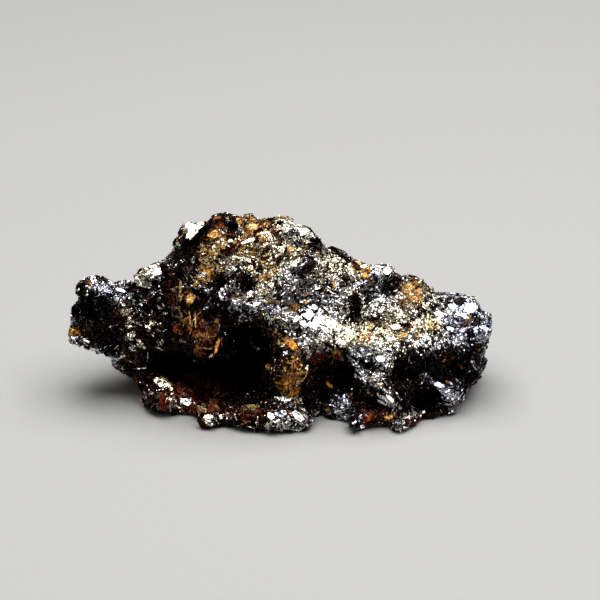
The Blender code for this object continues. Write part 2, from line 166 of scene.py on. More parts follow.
ZONES: dict[Coat, tuple[Spot, ...]] = {
    # Partly painted light: besides patches of bright plates, these zones gather bright silver plates where
    # the top of the displayed face is lit.
    Coat.SILVER: rows(
        Spot,
        (14.0, 17.6, 14.0, 6.5, -22, 1.5), (-2.0, 25.0, 11.0, 6.5, 0, 1.0),
        (-33.2, 19.2, 5.2, 1.9, -8, 2.2), (-31.4, 14.2, 1.8, 2.2, 0, 1.3), (-29.6, 15.4, 3.8, 0.7, 86, 1.2),
        (-29.4, 9.8, 3.2, 1.2, 80, 1.3), (-23.0, 10.6, 2.2, 1.2, 70, 1.3), (-25.6, 22.4, 1.8, 1.2, 0, 1.8),
        (-40.0, 10.4, 2.4, 1.4, 70, 0.7), (-24.4, 23.0, 3.4, 1.5, 20, 1.8),
        (-24.0, 17.4, 3.2, 1.8, 90, 0.5), (-29.6, 7.0, 4.2, 1.4, -60, 0.9),
        (-17.4, 31.2, 2.0, 1.4, 60, 3.0), (-9.0, 24.4, 6.6, 5.0, 0, 2.0), (-4.0, 18.4, 6.0, 2.6, 0, 3.6),
        (-15.6, 21.0, 1.4, 1.4, 0, 1.2), (1.0, 24.4, 6.0, 4.2, 90, 2.0), (4.2, 30.8, 1.7, 1.2, 0, 4.0),
        (9.0, 22.4, 5.0, 4.4, 0, 1.8), (-2.0, 15.6, 3.6, 1.3, 0, 4.0), (9.6, 13.2, 7.4, 3.3, -22, 12.0),
        (20.0, 23.4, 2.2, 1.5, 0, 3.2), (15.2, 24.6, 1.6, 1.2, 0, 4.0), (20.0, 16.8, 4.0, 2.8, 90, 6.5),
        (22.0, 10.8, 8.4, 2.2, 12, 5.0), (22.4, 7.0, 3.2, 2.6, 0, 2.4), (35.4, 13.8, 6.2, 4.2, 0, 6.0),
        (41.0, 13.4, 1.8, 1.8, 0, 1.4), (20.6, -0.6, 3.8, 0.7, -50, 6.0), (15.6, 3.2, 2.4, 0.6, -50, 8.0),
        (9.6, -1.0, 1.6, 0.5, 30, 3.0), (18.0, 3.0, 2.6, 0.5, -40, 4.0), (30.6, 1.0, 3.2, 0.7, -28, 5.0),
        (21.2, 4.0, 0.9, 1.2, 0, 3.0), (34.4, -3.0, 2.6, 0.9, -60, 4.4), (25.4, 0.6, 1.4, 0.6, 10, 5.0),
        (17.0, 1.6, 2.2, 0.8, -60, 3.0), (11.6, -3.2, 2.6, 2.0, 0, 5.0), (24.0, -6.0, 2.6, 1.0, 0, 2.6),
        (36.0, 8.6, 4.0, 2.0, 0, 0.9), (-12.4, -5.8, 3.6, 1.3, 0, 1.4), (0.6, -5.6, 5.4, 2.6, 0, 1.5),
        (0.8, -2.0, 2.2, 1.0, 0, 3.0), (4.8, 5.0, 2.8, 1.3, 90, 2.2), (-22.0, -2.2, 4.2, 1.2, -30, 0.9),
        (-18.0, -2.8, 2.0, 1.0, 0, 0.9),
    ),
    # Partly painted shade: besides patches of dark plates, these zones put near-black plates in the pits, in
    # dark slots and below large plates, where shade falls.
    Coat.BLACK: rows(
        Spot,
        (-36.4, 14.4, 3.8, 3.2, 0, 7.0), (-39.4, 19.0, 1.6, 1.6, 0, 1.2), (-33.0, 10.4, 3.2, 2.2, 0, 2.6),
        (-28.0, 17.4, 3.8, 1.4, 90, 3.4), (-22.8, 20.8, 1.8, 1.4, 0, 2.2), (-22.0, 15.4, 4.8, 1.2, 90, 3.6),
        (-18.0, 24.4, 4.8, 2.2, 80, 5.0), (-10.0, 27.2, 2.0, 0.6, 30, 3.0),
        (-4.8, 24.0, 1.8, 0.5, -40, 3.0), (-8.4, 22.6, 2.0, 0.5, 15, 3.0), (-1.4, 28.0, 2.0, 0.6, 60, 3.0),
        (-16.0, 30.2, 4.2, 1.1, 41, 8.0), (-9.0, 31.2, 1.8, 1.1, 90, 7.0), (7.6, 28.4, 2.8, 1.4, -25, 5.0),
        (-13.0, 15.0, 2.8, 1.8, 0, 2.0), (-7.0, 4.2, 6.6, 5.2, 90, 10.0), (-13.6, 16.0, 3.0, 1.8, 90, 3.0),
        (-22.0, 5.4, 5.4, 3.8, 0, 8.0), (-14.0, 3.0, 3.6, 2.6, 0, 4.0), (-26.0, 10.4, 3.6, 2.0, 0, 1.0),
        (14.6, 15.0, 3.0, 1.6, 60, 9.0), (21.6, 19.8, 1.4, 1.4, 0, 9.0), (17.6, 16.4, 1.8, 0.8, 90, 4.0),
        (10.6, 9.8, 1.8, 0.9, 0, 4.0), (11.0, 3.6, 4.4, 3.0, 10, 6.0), (16.4, -0.8, 2.6, 2.0, 90, 3.0),
        (25.0, 3.8, 2.6, 1.9, 0, 10.0), (18.4, -2.4, 1.4, 1.4, 0, 7.0), (22.6, 1.8, 1.3, 1.6, 0, 8.0),
        (28.0, -1.8, 3.0, 2.8, 0, 10.0), (33.4, 3.2, 4.0, 1.6, 0, 9.0), (7.6, 0.0, 3.2, 2.4, 0, 5.0),
        (12.4, 1.4, 4.4, 2.6, 20, 5.0), (36.0, 7.4, 4.2, 2.6, 0, 2.0), (6.4, -3.2, 1.8, 2.2, 0, 4.0),
        (-11.6, 20.9, 1.2, 1.2, 0, 40.0), (-6.3, 20.7, 1.2, 1.2, 0, 50.0), (-0.4, 18.4, 1.5, 0.6, 90, 8.0),
        (1.8, 18.0, 1.4, 0.5, 100, 6.0), (4.8, 22.2, 2.6, 1.2, -20, 2.6), (-13.0, 17.4, 2.8, 1.3, -14, 4.0),
        (-17.6, 16.0, 1.0, 0.8, 0, 3.0), (3.0, 20.0, 1.6, 0.8, 40, 2.0), (-10.6, 16.6, 4.0, 0.9, 10, 2.0),
    ),
    Coat.OCHRE: rows(
        Spot,
        (-7.0, 26.0, 9.0, 5.2, 0, 1.7), (-4.4, 31.0, 3.6, 2.1, 0, 2.6), (-12.6, 30.2, 1.6, 1.1, 25, 4.0),
        (-13.6, 23.6, 3.4, 2.4, 60, 3.4), (-6.6, 26.8, 1.8, 1.4, 0, 2.0), (-2.0, 25.0, 2.4, 1.5, 90, 1.8),
        (-8.6, 17.4, 1.6, 1.2, 0, 2.0), (-11.6, 19.0, 1.8, 0.7, 10, 2.4), (-19.2, 20.0, 4.6, 0.5, 82, 2.4),
        (-17.4, 17.8, 1.7, 1.0, 90, 3.0), (-17.0, 13.4, 2.8, 1.1, 90, 2.4), (-14.6, 8.6, 3.8, 2.0, 90, 2.6),
        (-12.4, 12.6, 2.4, 0.8, 70, 2.0), (-6.6, 17.6, 1.4, 1.0, 0, 3.0), (-2.6, 22.0, 1.4, 1.0, 90, 2.0),
        (-2.0, 17.0, 1.9, 0.9, 0, 3.0), (2.6, 15.8, 2.2, 1.4, 60, 5.0), (1.8, 8.8, 2.9, 0.9, -45, 6.0),
        (-2.0, 4.2, 1.0, 0.8, 0, 4.0), (2.0, 1.6, 3.0, 2.0, 90, 6.0), (-12.4, -2.2, 1.6, 1.2, 90, 2.6),
        (-7.4, -4.2, 1.9, 0.8, 0, 2.6), (9.4, 24.4, 1.6, 1.0, 90, 0.8), (15.4, 24.4, 1.6, 1.3, 0, 5.0),
        (17.0, 22.2, 1.1, 1.1, 0, 7.0), (26.2, 18.8, 2.3, 2.0, 90, 5.0), (17.2, 9.8, 4.0, 0.7, 26, 4.0),
        (18.0, 12.0, 1.8, 0.7, 60, 3.0), (24.0, 10.8, 2.6, 0.9, 8, 1.6), (29.6, 12.4, 1.2, 1.1, 0, 6.0),
        (26.0, 9.8, 1.1, 0.8, 0, 4.0), (21.4, -5.6, 1.2, 0.7, 0, 4.0), (9.6, 1.0, 1.6, 0.6, -60, 3.4),
        (11.2, 7.0, 0.9, 0.8, 0, 4.0), (6.0, 4.2, 3.0, 1.2, 20, 1.4), (-40.0, 10.8, 1.3, 0.9, 0, 1.4),
        (-29.2, 5.8, 2.2, 1.2, -60, 1.5),
    ),
    Coat.RUST: rows(
        Spot,
        (-6.0, -5.0, 9.0, 1.8, 0, 1.5), (-22.0, -2.0, 7.0, 1.8, -26, 1.0), (-6.0, 24.0, 9.0, 6.0, 0, 0.4),
        (-15.0, 12.0, 6.0, 3.0, 90, 1.2), (-16.0, -0.2, 6.2, 2.0, 0, 5.0), (-16.4, 1.4, 2.6, 1.6, 90, 3.4),
        (-20.8, 20.2, 4.2, 0.8, 90, 6.0), (-18.0, 15.0, 2.2, 1.3, 90, 1.8), (-19.2, 11.0, 1.3, 1.2, 0, 3.0),
        (8.0, 6.0, 2.8, 1.2, 10, 5.0), (13.4, 15.6, 1.3, 1.1, 0, 3.0), (17.6, -5.6, 2.6, 1.6, 90, 2.6),
        (-3.0, 1.4, 1.6, 1.4, 0, 3.0), (-6.0, -4.6, 3.0, 1.0, 0, 1.2), (26.4, -6.4, 3.0, 0.8, 0, 1.8),
        (-27.4, 20.4, 2.2, 0.7, 80, 1.8), (-32.0, 2.8, 3.0, 0.8, -50, 1.2), (-14.0, 12.0, 2.0, 2.0, 0, 0.8),
    ),
}
# Where a thin film makes the plates creamy, and where it leaves them a cool lilac.
WARM = rows(
    Spot,
    (-3.0, 26.0, 10.0, 6.0, 0, 0.7), (18.0, 11.0, 9.0, 2.4, 14, 0.8), (5.8, 3.6, 2.4, 5.0, 0, 0.6),
    (15.2, 24.4, 1.8, 1.5, 0, 3.0), (26.4, 17.8, 2.6, 2.4, 0, 1.2), (-31.0, 13.6, 2.6, 2.2, 0, 0.7),
    (-27.0, 22.0, 3.0, 1.6, 0, 0.6), (-26.0, 10.0, 5.0, 3.0, 0, 0.6), (29.4, 12.4, 1.8, 1.6, 0, 3.0),
    (-19.4, 19.6, 4.0, 0.8, 90, 0.8), (9.0, 23.0, 3.6, 3.0, 0, 0.4), (-22.0, -1.8, 6.0, 2.6, -26, 0.7),
    (-9.0, -5.2, 8.0, 2.2, 0, 0.6),
)
COOL = rows(
    Spot,
    (29.0, 2.6, 11.0, 6.0, 0, 0.45), (-36.4, 14.0, 4.6, 4.0, 0, 0.4), (-7.0, 4.0, 6.0, 5.0, 90, 0.3),
    (36.0, 13.0, 6.5, 5.0, 0, 0.4), (-33.0, 19.0, 5.0, 2.0, 0, 0.6), (-15.0, 9.0, 5.0, 4.0, 90, 0.4),
    (2.0, 2.0, 4.0, 2.4, 90, 0.5), (2.0, 8.4, 2.4, 1.2, -45, 0.5), (17.4, 22.0, 1.4, 1.2, 0, 0.5),
    (-12.6, 30.2, 2.0, 1.3, 25, 0.3), (-2.0, 15.6, 4.0, 1.6, 0, 0.8),
)
# Painted shade: zones on the cave walls and in the hollows, where the plates' tones are lowered to darken
# them as shade does.
PAINTED_SHADE = rows(
    Spot,
    (-15.0, 8.6, 6.0, 4.6, 90, 0.7), (1.0, 2.4, 6.0, 4.4, 90, 0.15), (-16.0, 0.0, 8.0, 3.0, 0, 0.45),
    (8.0, 6.0, 3.0, 1.6, 10, 0.6),
)


@dataclass(frozen=True)
class CoatField:
    """How much of each coat there is anywhere on the skin.

    Attributes:
        everywhere: What each coat has where no zone adds to it.
        hidden: How much patches add to each coat on the hidden sides.
        patch: Size of those patches.
        facing: Range of facing over which the displayed face's zones fade in.
        warp: How far zones are pushed about anywhere, and how much farther where the skin runs
            along the display direction.
        swirl: Sizes of the swirls that push them across and up the face.
        sideways: How much farther they are pushed across than up.
        sharpness: How much the coat that leads at a place gains on the others.
        half_glow: Strength of a silver zone whose plates are half turned to the light.
        least: How much of what covers the displayed face is left to chance, zones or not.
        solid_black: Strength of a black zone where nothing is left to chance.
        shadowing: How much of a black zone's strength takes the light from the plates.
    """

    everywhere: dict[Coat, float] = field(
        default_factory=lambda: {Coat.SILVER: 0.5, Coat.BLACK: 0.62, Coat.OCHRE: 0.06, Coat.RUST: 0.02}
    )
    hidden: dict[Coat, float] = field(
        default_factory=lambda: {Coat.SILVER: 1.4, Coat.BLACK: 1.4, Coat.OCHRE: 1.2, Coat.RUST: 0.5}
    )
    patch: float = 7.0
    facing: tuple[float, float] = (-0.05, 0.35)
    warp: tuple[float, float] = (0.3, 2.6)
    swirl: tuple[float, float] = (4.5, 3.0)
    sideways: float = 2.0
    sharpness: float = 1.6
    half_glow: float = 1.8
    least: float = 0.24
    solid_black: float = 4.0
    shadowing: float = 0.6

    def glow(self, points: Array, normals: Array) -> Array:
        """How strongly plates are turned to the light at some points, and how much their colour is
        brightened there as a painted highlight.

        Args:
            points: N by 3, in millimetres.
            normals: N by 3 unit normals of the skin at large.

        Returns:
            N values from nought to one.
        """
        across, up = self.places(points, normals)
        silver, black = (total(ZONES[coat], across, up) for coat in (Coat.SILVER, Coat.BLACK))
        lit = np.maximum(silver - self.shadowing * black, 0.0)
        return lit / (lit + self.half_glow) * self.shown(normals)

    def places(self, points: Array, normals: Array) -> tuple[Array, Array]:
        """Where points are among the zones.

        Args:
            points: N by 3, in millimetres.
            normals: N by 3 unit normals of the skin at large.

        Returns:
            How far across and how far up each is.
        """
        across, up = DISPLAY.project(points)
        anywhere, aslant = self.warp
        push = aslant * (1.0 - np.clip(normals @ DISPLAY.towards, 0.0, 1.0)) ** 2 + anywhere
        wide, high = self.swirl
        east = patchiness(points, wide, ACROSS_DRIFT)
        north = patchiness(points, high, UP_DRIFT)
        return across + push * self.sideways * east, up + push * north

    def shown(self, normals: Array) -> Array:
        """How far the skin with these normals is on the displayed face."""
        low, high = self.facing
        return np.clip((normals @ DISPLAY.towards - low) / (high - low), 0.0, 1.0)

    def shares(self, points: Array, normals: Array) -> dict[Coat, Array]:
        """The share of each coat at some points.

        Args:
            points: N by 3, in millimetres.
            normals: N by 3 unit normals of the skin at large.

        Returns:
            N shares for each coat, which add up to one.
        """
        across, up = self.places(points, normals)
        shown = self.shown(normals)
        weights = {}
        for index, coat in enumerate(Coat):
            zone = total(ZONES[coat], across, up)
            drift = patchiness(points, self.patch, FIRST_COAT_DRIFT + index * COAT_DRIFT_STEP)
            hidden = np.clip(drift * self.hidden[coat], 0.0, 1.0)
            weight = self.everywhere[coat] + zone * shown + hidden * (1.0 - shown)
            weights[coat] = weight**self.sharpness
        whole = sum(weights.values())
        black = total(ZONES[Coat.BLACK], across, up)
        chance = self.least * shown * np.clip(1.0 - black / self.solid_black, 0.0, 1.0)
        common = sum(self.everywhere.values())
        return {
            coat: (1.0 - chance) * weight / whole + chance * self.everywhere[coat] / common
            for coat, weight in weights.items()
        }


# How far each noise is moved, so that no two are alike.
CRAG_DRIFT, FINE_CRAG_DRIFT = 4.0, 9.0
ACROSS_DRIFT, UP_DRIFT = 51.0, 73.0
TINT_DRIFT = 31.0
FIRST_COAT_DRIFT, COAT_DRIFT_STEP = 3.0, 17.0
DRIFT_WAY = (1.0, -1.0, 0.37)


def patchiness(points: Array, size: float, drift: float) -> Array:
    """Smooth noise from about minus one to one, in patches of a size, moved by its drift."""
    shift = Vector([way * drift for way in DRIFT_WAY])
    return np.array([noise.noise(Vector(p) / size + shift) for p in points])


# --- Shaders -----------------------------------------------------------------------------------------


# The middle of a channel of the Voronoi colours, which are spread evenly.
HALF = 0.5


class Graph:
    """Builds a material's nodes."""

    def __init__(self, name: str) -> None:
        """Starts a material.

        Args:
            name: Its name.
        """
        self.material = bpy.data.materials.new(name)
        self.material.use_nodes = True
        self.tree = self.material.node_tree
        self.shader = self.tree.nodes["Principled BSDF"]

    def add(self, kind: str, inputs: dict | None = None, **settings: object) -> bpy.types.Node:
        """Adds a node.

        Args:
            kind: Its type, without the ShaderNode in front.
            inputs: Values or sockets for its inputs, by name or number.
            **settings: Its own properties.

        Returns:
            The node.
        """
        node = self.tree.nodes.new("ShaderNode" + kind)
        for key, value in settings.items():
            setattr(node, key, value)
        for key, value in (inputs or {}).items():
            self.feed(node.inputs[key], value)
        return node

    def feed(self, socket: bpy.types.NodeSocket, value: object) -> None:
        """Links a socket into an input, or sets its value.

        Args:
            socket: The input.
            value: An output socket, a number or a tuple.
        """
        if isinstance(value, bpy.types.NodeSocket):
            self.tree.links.new(value, socket)
        else:
            socket.default_value = value

    def set(self, name: str, value: object) -> None:
        """Feeds one of the shader's own inputs."""
        self.feed(self.shader.inputs[name], value)

    def vector(self, operation: str, inputs: dict) -> bpy.types.NodeSocket:
        """A sum, multiple or other operation on vectors."""
        return self.add("VectorMath", inputs, operation=operation).outputs["Vector"]

    def places(self) -> bpy.types.NodeSocket:
        """Object coordinates, in millimetres."""
        place = self.add("TexCoord").outputs["Object"]
        return self.vector("SCALE", {0: place, "Scale": 1.0 / MM})

    def attribute(self, name: str) -> bpy.types.NodeSocket:
        """A number stored on the mesh."""
        return self.add("Attribute", attribute_name=name).outputs["Fac"]

    def noise(self, size: float, detail: float = 3.0, twist: float = 0.0) -> bpy.types.NodeSocket:
        """Noise from nought to one, with blobs of a size, finer layers, and a twist into wisps."""
        inputs = {"Vector": self.places(), "Scale": 1.0 / size, "Detail": detail, "Distortion": twist}
        return self.add("TexNoise", inputs).outputs["Fac"]

    def ramp(
        self, value: bpy.types.NodeSocket, low: float, high: float, to: tuple[float, float] = (0.0, 1.0)
    ) -> bpy.types.NodeSocket:
        """A value's range from low to high, stretched to another and clamped."""
        inputs = {"Value": value, "From Min": low, "From Max": high, "To Min": to[0], "To Max": to[1]}
        return self.add("MapRange", inputs).outputs["Result"]

    def maths(self, operation: str, first: object, second: object) -> bpy.types.NodeSocket:
        """A sum, product or other operation on two numbers."""
        return self.add("Math", {0: first, 1: second}, operation=operation).outputs["Value"]

    def blend(self, share: object, first: object, second: object) -> bpy.types.NodeSocket:
        """A mix of two colours.

        Args:
            share: How much of the second.
            first: A colour or a socket.
            second: A colour or a socket.

        Returns:
            The mixed colour's socket.
        """
        node = self.add("Mix", data_type="RGBA")
        self.feed(node.inputs["Factor"], share)
        for name, value in (("A", first), ("B", second)):
            socket = next(s for s in node.inputs if s.name == name and s.type == "RGBA")
            self.feed(socket, (*value, 1.0) if isinstance(value, tuple) else value)
        return next(s for s in node.outputs if s.type == "RGBA")

    def glitter(self, cell: float, lean: float) -> bpy.types.NodeSocket:
        """A normal that leans differently in each small crystal of a plate.

        Args:
            cell: Size of the crystals.
            lean: How far they lean, as a share of the normal.

        Returns:
            The normal's socket.
        """
        crystals = self.add("TexVoronoi", {"Vector": self.places(), "Scale": 1.0 / cell})
        centred = self.vector("ADD", {0: crystals.outputs["Color"], 1: (-HALF, -HALF, -HALF)})
        share = self.maths("MULTIPLY", self.attribute("sparkle"), lean)
        leaned = self.vector("SCALE", {0: centred, "Scale": share})
        normal = self.add("NewGeometry").outputs["Normal"]
        return self.vector("NORMALIZE", {0: self.vector("ADD", {0: normal, 1: leaned})})


# What most of a noise's values lie between.
NOISE_SPAN = (0.35, 0.65)


@dataclass(frozen=True)
class MetalFinish:
    """Bare hematite: dark steel plates with a mirror lustre.

    Attributes:
        name: The material's name.
        dark: Colour of the darkest plates.
        cool: Colour of the bluish bright plates.
        warm: Colour of the pinkish bright plates.
        steps: Tones between which a plate goes from dark to bright.
        wisp: Size and twist of the dark wisps on a plate.
        smut: Range over which a wisp's smut clears.
        soot: Share of its brightness that a plate keeps under smut.
        clean: How much clearer of smut the brightest plates are.
        clean_tones: Tones between which they become so.
        roughness: Range of roughness from blotch to blotch.
        blotch: Size of the blotches.
        crystal: Size of the crystals within a plate.
        lean: How far those crystals lean.
    """

    name: str
    dark: Colour
    cool: Colour
    warm: Colour
    steps: tuple[float, float] = (0.2, 0.4)
    wisp: tuple[float, float] = (0.52, 2.4)
    smut: tuple[float, float] = (0.425, 0.485)
    soot: float = 0.05
    clean: float = 0.035
    clean_tones: tuple[float, float] = (0.6, 1.0)
    roughness: tuple[float, float] = (0.12, 0.3)
    blotch: float = 0.5
    crystal: float = 0.28
    lean: float = 1.1

    def build(self) -> bpy.types.Material:
        """Makes the material.

        Returns:
            The material.
        """
        graph = Graph(self.name)
        tone, tint = graph.attribute("tone"), graph.attribute("tint")
        bright = graph.blend(tint, self.cool, self.warm)
        size, twist = self.wisp
        wisps = graph.noise(size, twist=twist)
        wisps = graph.maths("ADD", wisps, graph.ramp(tone, *self.clean_tones, (0.0, self.clean)))
        smut = graph.ramp(wisps, *self.smut, (self.soot, 1.0))
        level = graph.maths("MULTIPLY", graph.ramp(tone, *self.steps), smut)
        graph.set("Base Color", graph.blend(level, self.dark, bright))
        graph.set("Metallic", 1.0)
        graph.set("Roughness", graph.ramp(graph.noise(self.blotch), *NOISE_SPAN, self.roughness))
        graph.set("Normal", graph.glitter(self.crystal, self.lean))
        return graph.material


@dataclass(frozen=True)
class EarthFinish:
    """Plates coated with limonite or rust.

    Attributes:
        name: The material's name.
        deep: Colour of the plates of lowest tone: of the thickest coat, and of plates darkened by painted
            shade in the hollows.
        body: Colour of most of it.
        orange: Colour of the threads on its warmest plates.
        pale: Colour of the threads on its palest plates.
        gap: How much bare metal shows through.
        straw: Colour of the body where the coat is thinnest.
        thin: Tints between which the body turns to straw.
        thick: Tones between which the coat goes from deep to body.
        thread: Size, fineness and twist of the threads.
        thread_edge: Range over which a thread fades in.
        thread_tones: Tones between which the threads appear.
        mottle: Size of the mottle.
        mottle_edge: Range over which it goes from dark to light.
        mottling: How dark and how light it makes the coat.
        gaps: Size, fineness and twist of the gaps.
        gap_edge: How soft the gaps' edges are.
        metal: Colour of the bare metal, which is stained dark red.
        roughness: Roughness of the coat and of the bare metal.
        sheen: How much the coat mirrors, where a half is what glass does.
        crystal: Size of the crystals within a plate.
        lean: How far those crystals lean.
    """

    name: str
    deep: Colour
    body: Colour
    orange: Colour
    pale: Colour
    gap: float
    straw: Colour = (1.0, 0.88, 0.48)
    thin: tuple[float, float] = (1.5, 2.6)
    thick: tuple[float, float] = (0.0, 0.45)
    thread: tuple[float, float, float] = (0.5, 3.0, 2.0)
    thread_edge: tuple[float, float] = (0.42, 0.52)
    thread_tones: tuple[float, float] = (0.15, 0.8)
    mottle: float = 0.35
    mottle_edge: tuple[float, float] = (0.3, 0.7)
    mottling: tuple[float, float] = (0.15, 1.5)
    gaps: tuple[float, float, float] = (0.6, 4.0, 2.0)
    gap_edge: float = 0.02
    metal: Colour = (0.06, 0.012, 0.006)
    roughness: tuple[float, float] = (0.62, 0.3)
    sheen: float = 0.12
    crystal: float = 0.4
    lean: float = 0.45

    def build(self) -> bpy.types.Material:
        """Makes the material.

        Returns:
            The material.
        """
        graph = Graph(self.name)
        tone, tint = graph.attribute("tone"), graph.attribute("tint")
        body = graph.blend(graph.ramp(tint, *self.thin), self.body, self.straw)
        coat = graph.blend(graph.ramp(tone, *self.thick), self.deep, body)
        light = graph.blend(tint, self.orange, self.pale)
        threads = graph.ramp(graph.noise(*self.thread), *self.thread_edge)
        threads = graph.maths("MULTIPLY", threads, graph.ramp(tone, *self.thread_tones))
        coat = graph.blend(threads, coat, light)
        mottle = graph.ramp(graph.noise(self.mottle), *self.mottle_edge, self.mottling)
        shade = graph.vector("SCALE", {0: coat, "Scale": mottle})
        edges = (self.gap - self.gap_edge, self.gap + self.gap_edge)
        bare = graph.ramp(graph.noise(*self.gaps), *edges, (1.0, 0.0))
        graph.set("Base Color", graph.blend(bare, shade, self.metal))
        graph.set("Metallic", bare)
        graph.set("Roughness", graph.ramp(bare, 0.0, 1.0, self.roughness))
        graph.set("Specular IOR Level", self.sheen)
        graph.set("Normal", graph.glitter(self.crystal, self.lean))
        return graph.material


@dataclass(frozen=True)
class GroundmassFinish:
    """The rock between the plates: fine dark crystals, stained in zones.

    Attributes:
        metal: Colour of its crystals.
        glint: Colour of its bright crystals.
        speck: Size and fineness of the bright crystals.
        speck_edge: Range over which one fades in.
        ochre: Colour of the ochre stain.
        rust: Colour of the rust stain.
        ochre_blot: Size and fineness of the ochre blots.
        rust_blot: Size and fineness of the rust blots.
        blot_edge: Range over which a blot fades in.
        roughness: Roughness of the crystals and of the stains.
        crystal: Size of the crystals.
        lean: How far they lean.
    """

    metal: Colour = (0.012, 0.012, 0.014)
    glint: Colour = (0.3, 0.32, 0.37)
    speck: tuple[float, float] = (0.5, 2.0)
    speck_edge: tuple[float, float] = (0.5, 0.62)
    ochre: Colour = (0.3, 0.14, 0.03)
    rust: Colour = (0.12, 0.018, 0.012)
    ochre_blot: tuple[float, float] = (1.1, 4.0)
    rust_blot: tuple[float, float] = (1.4, 4.0)
    blot_edge: tuple[float, float] = (0.68, 0.82)
    roughness: tuple[float, float] = (0.3, 0.7)
    crystal: float = 0.55
    lean: float = 0.9

    def build(self) -> bpy.types.Material:
        """Makes the material.

        Returns:
            The material.
        """
        graph = Graph("groundmass")
        speck = graph.ramp(graph.noise(*self.speck), *self.speck_edge)
        silver = graph.maths("MULTIPLY", speck, graph.attribute(Coat.SILVER.value))
        colour = graph.blend(silver, self.metal, self.glint)
        ochre = self.stain(graph, Coat.OCHRE, self.ochre_blot)
        rust = self.stain(graph, Coat.RUST, self.rust_blot)
        colour = graph.blend(ochre, colour, self.ochre)
        colour = graph.blend(rust, colour, self.rust)
        stained = graph.maths("MAXIMUM", ochre, rust)
        graph.set("Base Color", colour)
        graph.set("Metallic", graph.ramp(stained, 0.0, 1.0, (1.0, 0.0)))
        graph.set("Roughness", graph.ramp(stained, 0.0, 1.0, self.roughness))
        graph.set("Normal", graph.glitter(self.crystal, self.lean))
        return graph.material

    def stain(self, graph: Graph, coat: Coat, blot: tuple[float, float]) -> bpy.types.NodeSocket:
        """How far a coat's stain covers the rock, in blots of a size and fineness."""
        covered = graph.maths("ADD", graph.noise(*blot), graph.attribute(coat.value))
        return graph.ramp(covered, *self.blot_edge)


# --- Meshes ------------------------------------------------------------------------------------------


# The least that a vector's length is taken to be, so that none is divided by nought.
LEAST_LENGTH = 1e-9


def tidy_selection() -> None:
    """Deselects everything."""
    bpy.ops.object.select_all(action="DESELECT")


def make_active(item: bpy.types.Object) -> None:
    """Selects one object and makes it active.

    Args:
        item: The object.
    """
    tidy_selection()
    item.select_set(True)
    bpy.context.view_layer.objects.active = item


def apply_modifier(item: bpy.types.Object, kind: str, **settings: object) -> None:
    """Adds a modifier and applies it.

    Args:
        item: The object.
        kind: The modifier's type.
        **settings: Its properties.
    """
    make_active(item)
    modifier = item.modifiers.new(kind.title(), kind)
    for key, value in settings.items():
        setattr(modifier, key, value)
    bpy.ops.object.modifier_apply(modifier=modifier.name)


def mesh_points(mesh: bpy.types.Mesh) -> Array:
    """Reads a mesh's vertices.

    Args:
        mesh: The mesh.

    Returns:
        N by 3, in millimetres.
    """
    flat = np.empty(len(mesh.vertices) * 3)
    mesh.vertices.foreach_get("co", flat)
    return flat.reshape(-1, 3) / MM


def set_points(mesh: bpy.types.Mesh, points: Array) -> None:
    """Moves a mesh's vertices to these points, in millimetres."""
    mesh.vertices.foreach_set("co", (points * MM).ravel())
    mesh.update()


def mesh_normals(mesh: bpy.types.Mesh) -> Array:
    """Reads a mesh's vertex normals.

    Args:
        mesh: The mesh.

    Returns:
        N by 3 unit normals.
    """
    flat = np.empty(len(mesh.vertices) * 3)
    mesh.vertex_normals.foreach_get("vector", flat)
    return flat.reshape(-1, 3)


def unit(vectors: Array) -> Array:
    """Vectors scaled to length one."""
    return vectors / np.maximum(np.linalg.norm(vectors, axis=-1, keepdims=True), LEAST_LENGTH)


def dots(first: Array, second: Array) -> Array:
    """The dot product of each vector of a list with its partner in another."""
    return np.einsum("ij,ij->i", first, second)


def smoothed(mesh: bpy.types.Mesh, vectors: Array, rounds: int) -> Array:
    """Directions averaged over each vertex's neighbours, again and again.

    Args:
        mesh: The mesh.
        vectors: A direction for each vertex.
        rounds: How many times.

    Returns:
        The smoothed unit directions.
    """
    ends = np.empty(len(mesh.edges) * 2, np.int64)
    mesh.edges.foreach_get("vertices", ends)
    first, second = ends.reshape(-1, 2).T
    for _ in range(rounds):
        summed = vectors.copy()
        for axis in range(3):
            summed[:, axis] += np.bincount(first, vectors[second, axis], len(vectors))
            summed[:, axis] += np.bincount(second, vectors[first, axis], len(vectors))
        vectors = unit(summed)
    return vectors


def box_corners() -> tuple[Array, Array]:
    """The lowest and highest corners of the CAD box, in millimetres."""
    low, high = (np.array(corner) / MM for corner in cad_box)
    return low, high


def search_tree(points: Array) -> kdtree.KDTree:
    """Makes a search tree of points.

    Args:
        points: N by 3.

    Returns:
        The tree, which gives points by number.
    """
    tree = kdtree.KDTree(len(points))
    for index, point in enumerate(points):
        tree.insert(point, index)
    tree.balance()
    return tree


def thinned(points: Array, spacing: float, rng: np.random.Generator) -> Array:
    """Picks points at random, one in each cell of a grid.

    Args:
        points: N by 3.
        spacing: The cells' size.
        rng: The random generator.

    Returns:
        The picked points' numbers.
    """
    order = rng.permutation(len(points))
    cells = np.floor(points[order] / spacing).astype(np.int64)
    _, first = np.unique(cells, axis=0, return_index=True)
    return order[first]


def new_object(name: str, points: Array, triangles: Array) -> bpy.types.Object:
    """Makes an object from arrays.

    Args:
        name: Its name.
        points: N by 3, in millimetres.
        triangles: M by 3 vertex numbers.

    Returns:
        The object.
    """
    mesh = bpy.data.meshes.new(name)
    mesh.vertices.add(len(points))
    mesh.vertices.foreach_set("co", (points * MM).ravel())
    mesh.loops.add(triangles.size)
    mesh.loops.foreach_set("vertex_index", triangles.ravel().astype(np.int32))
    mesh.polygons.add(len(triangles))
    mesh.polygons.foreach_set("loop_start", np.arange(0, triangles.size, 3, dtype=np.int32))
    mesh.update(calc_edges=True)
    item = bpy.data.objects.new(name, mesh)
    bpy.context.scene.collection.objects.link(item)
    return item


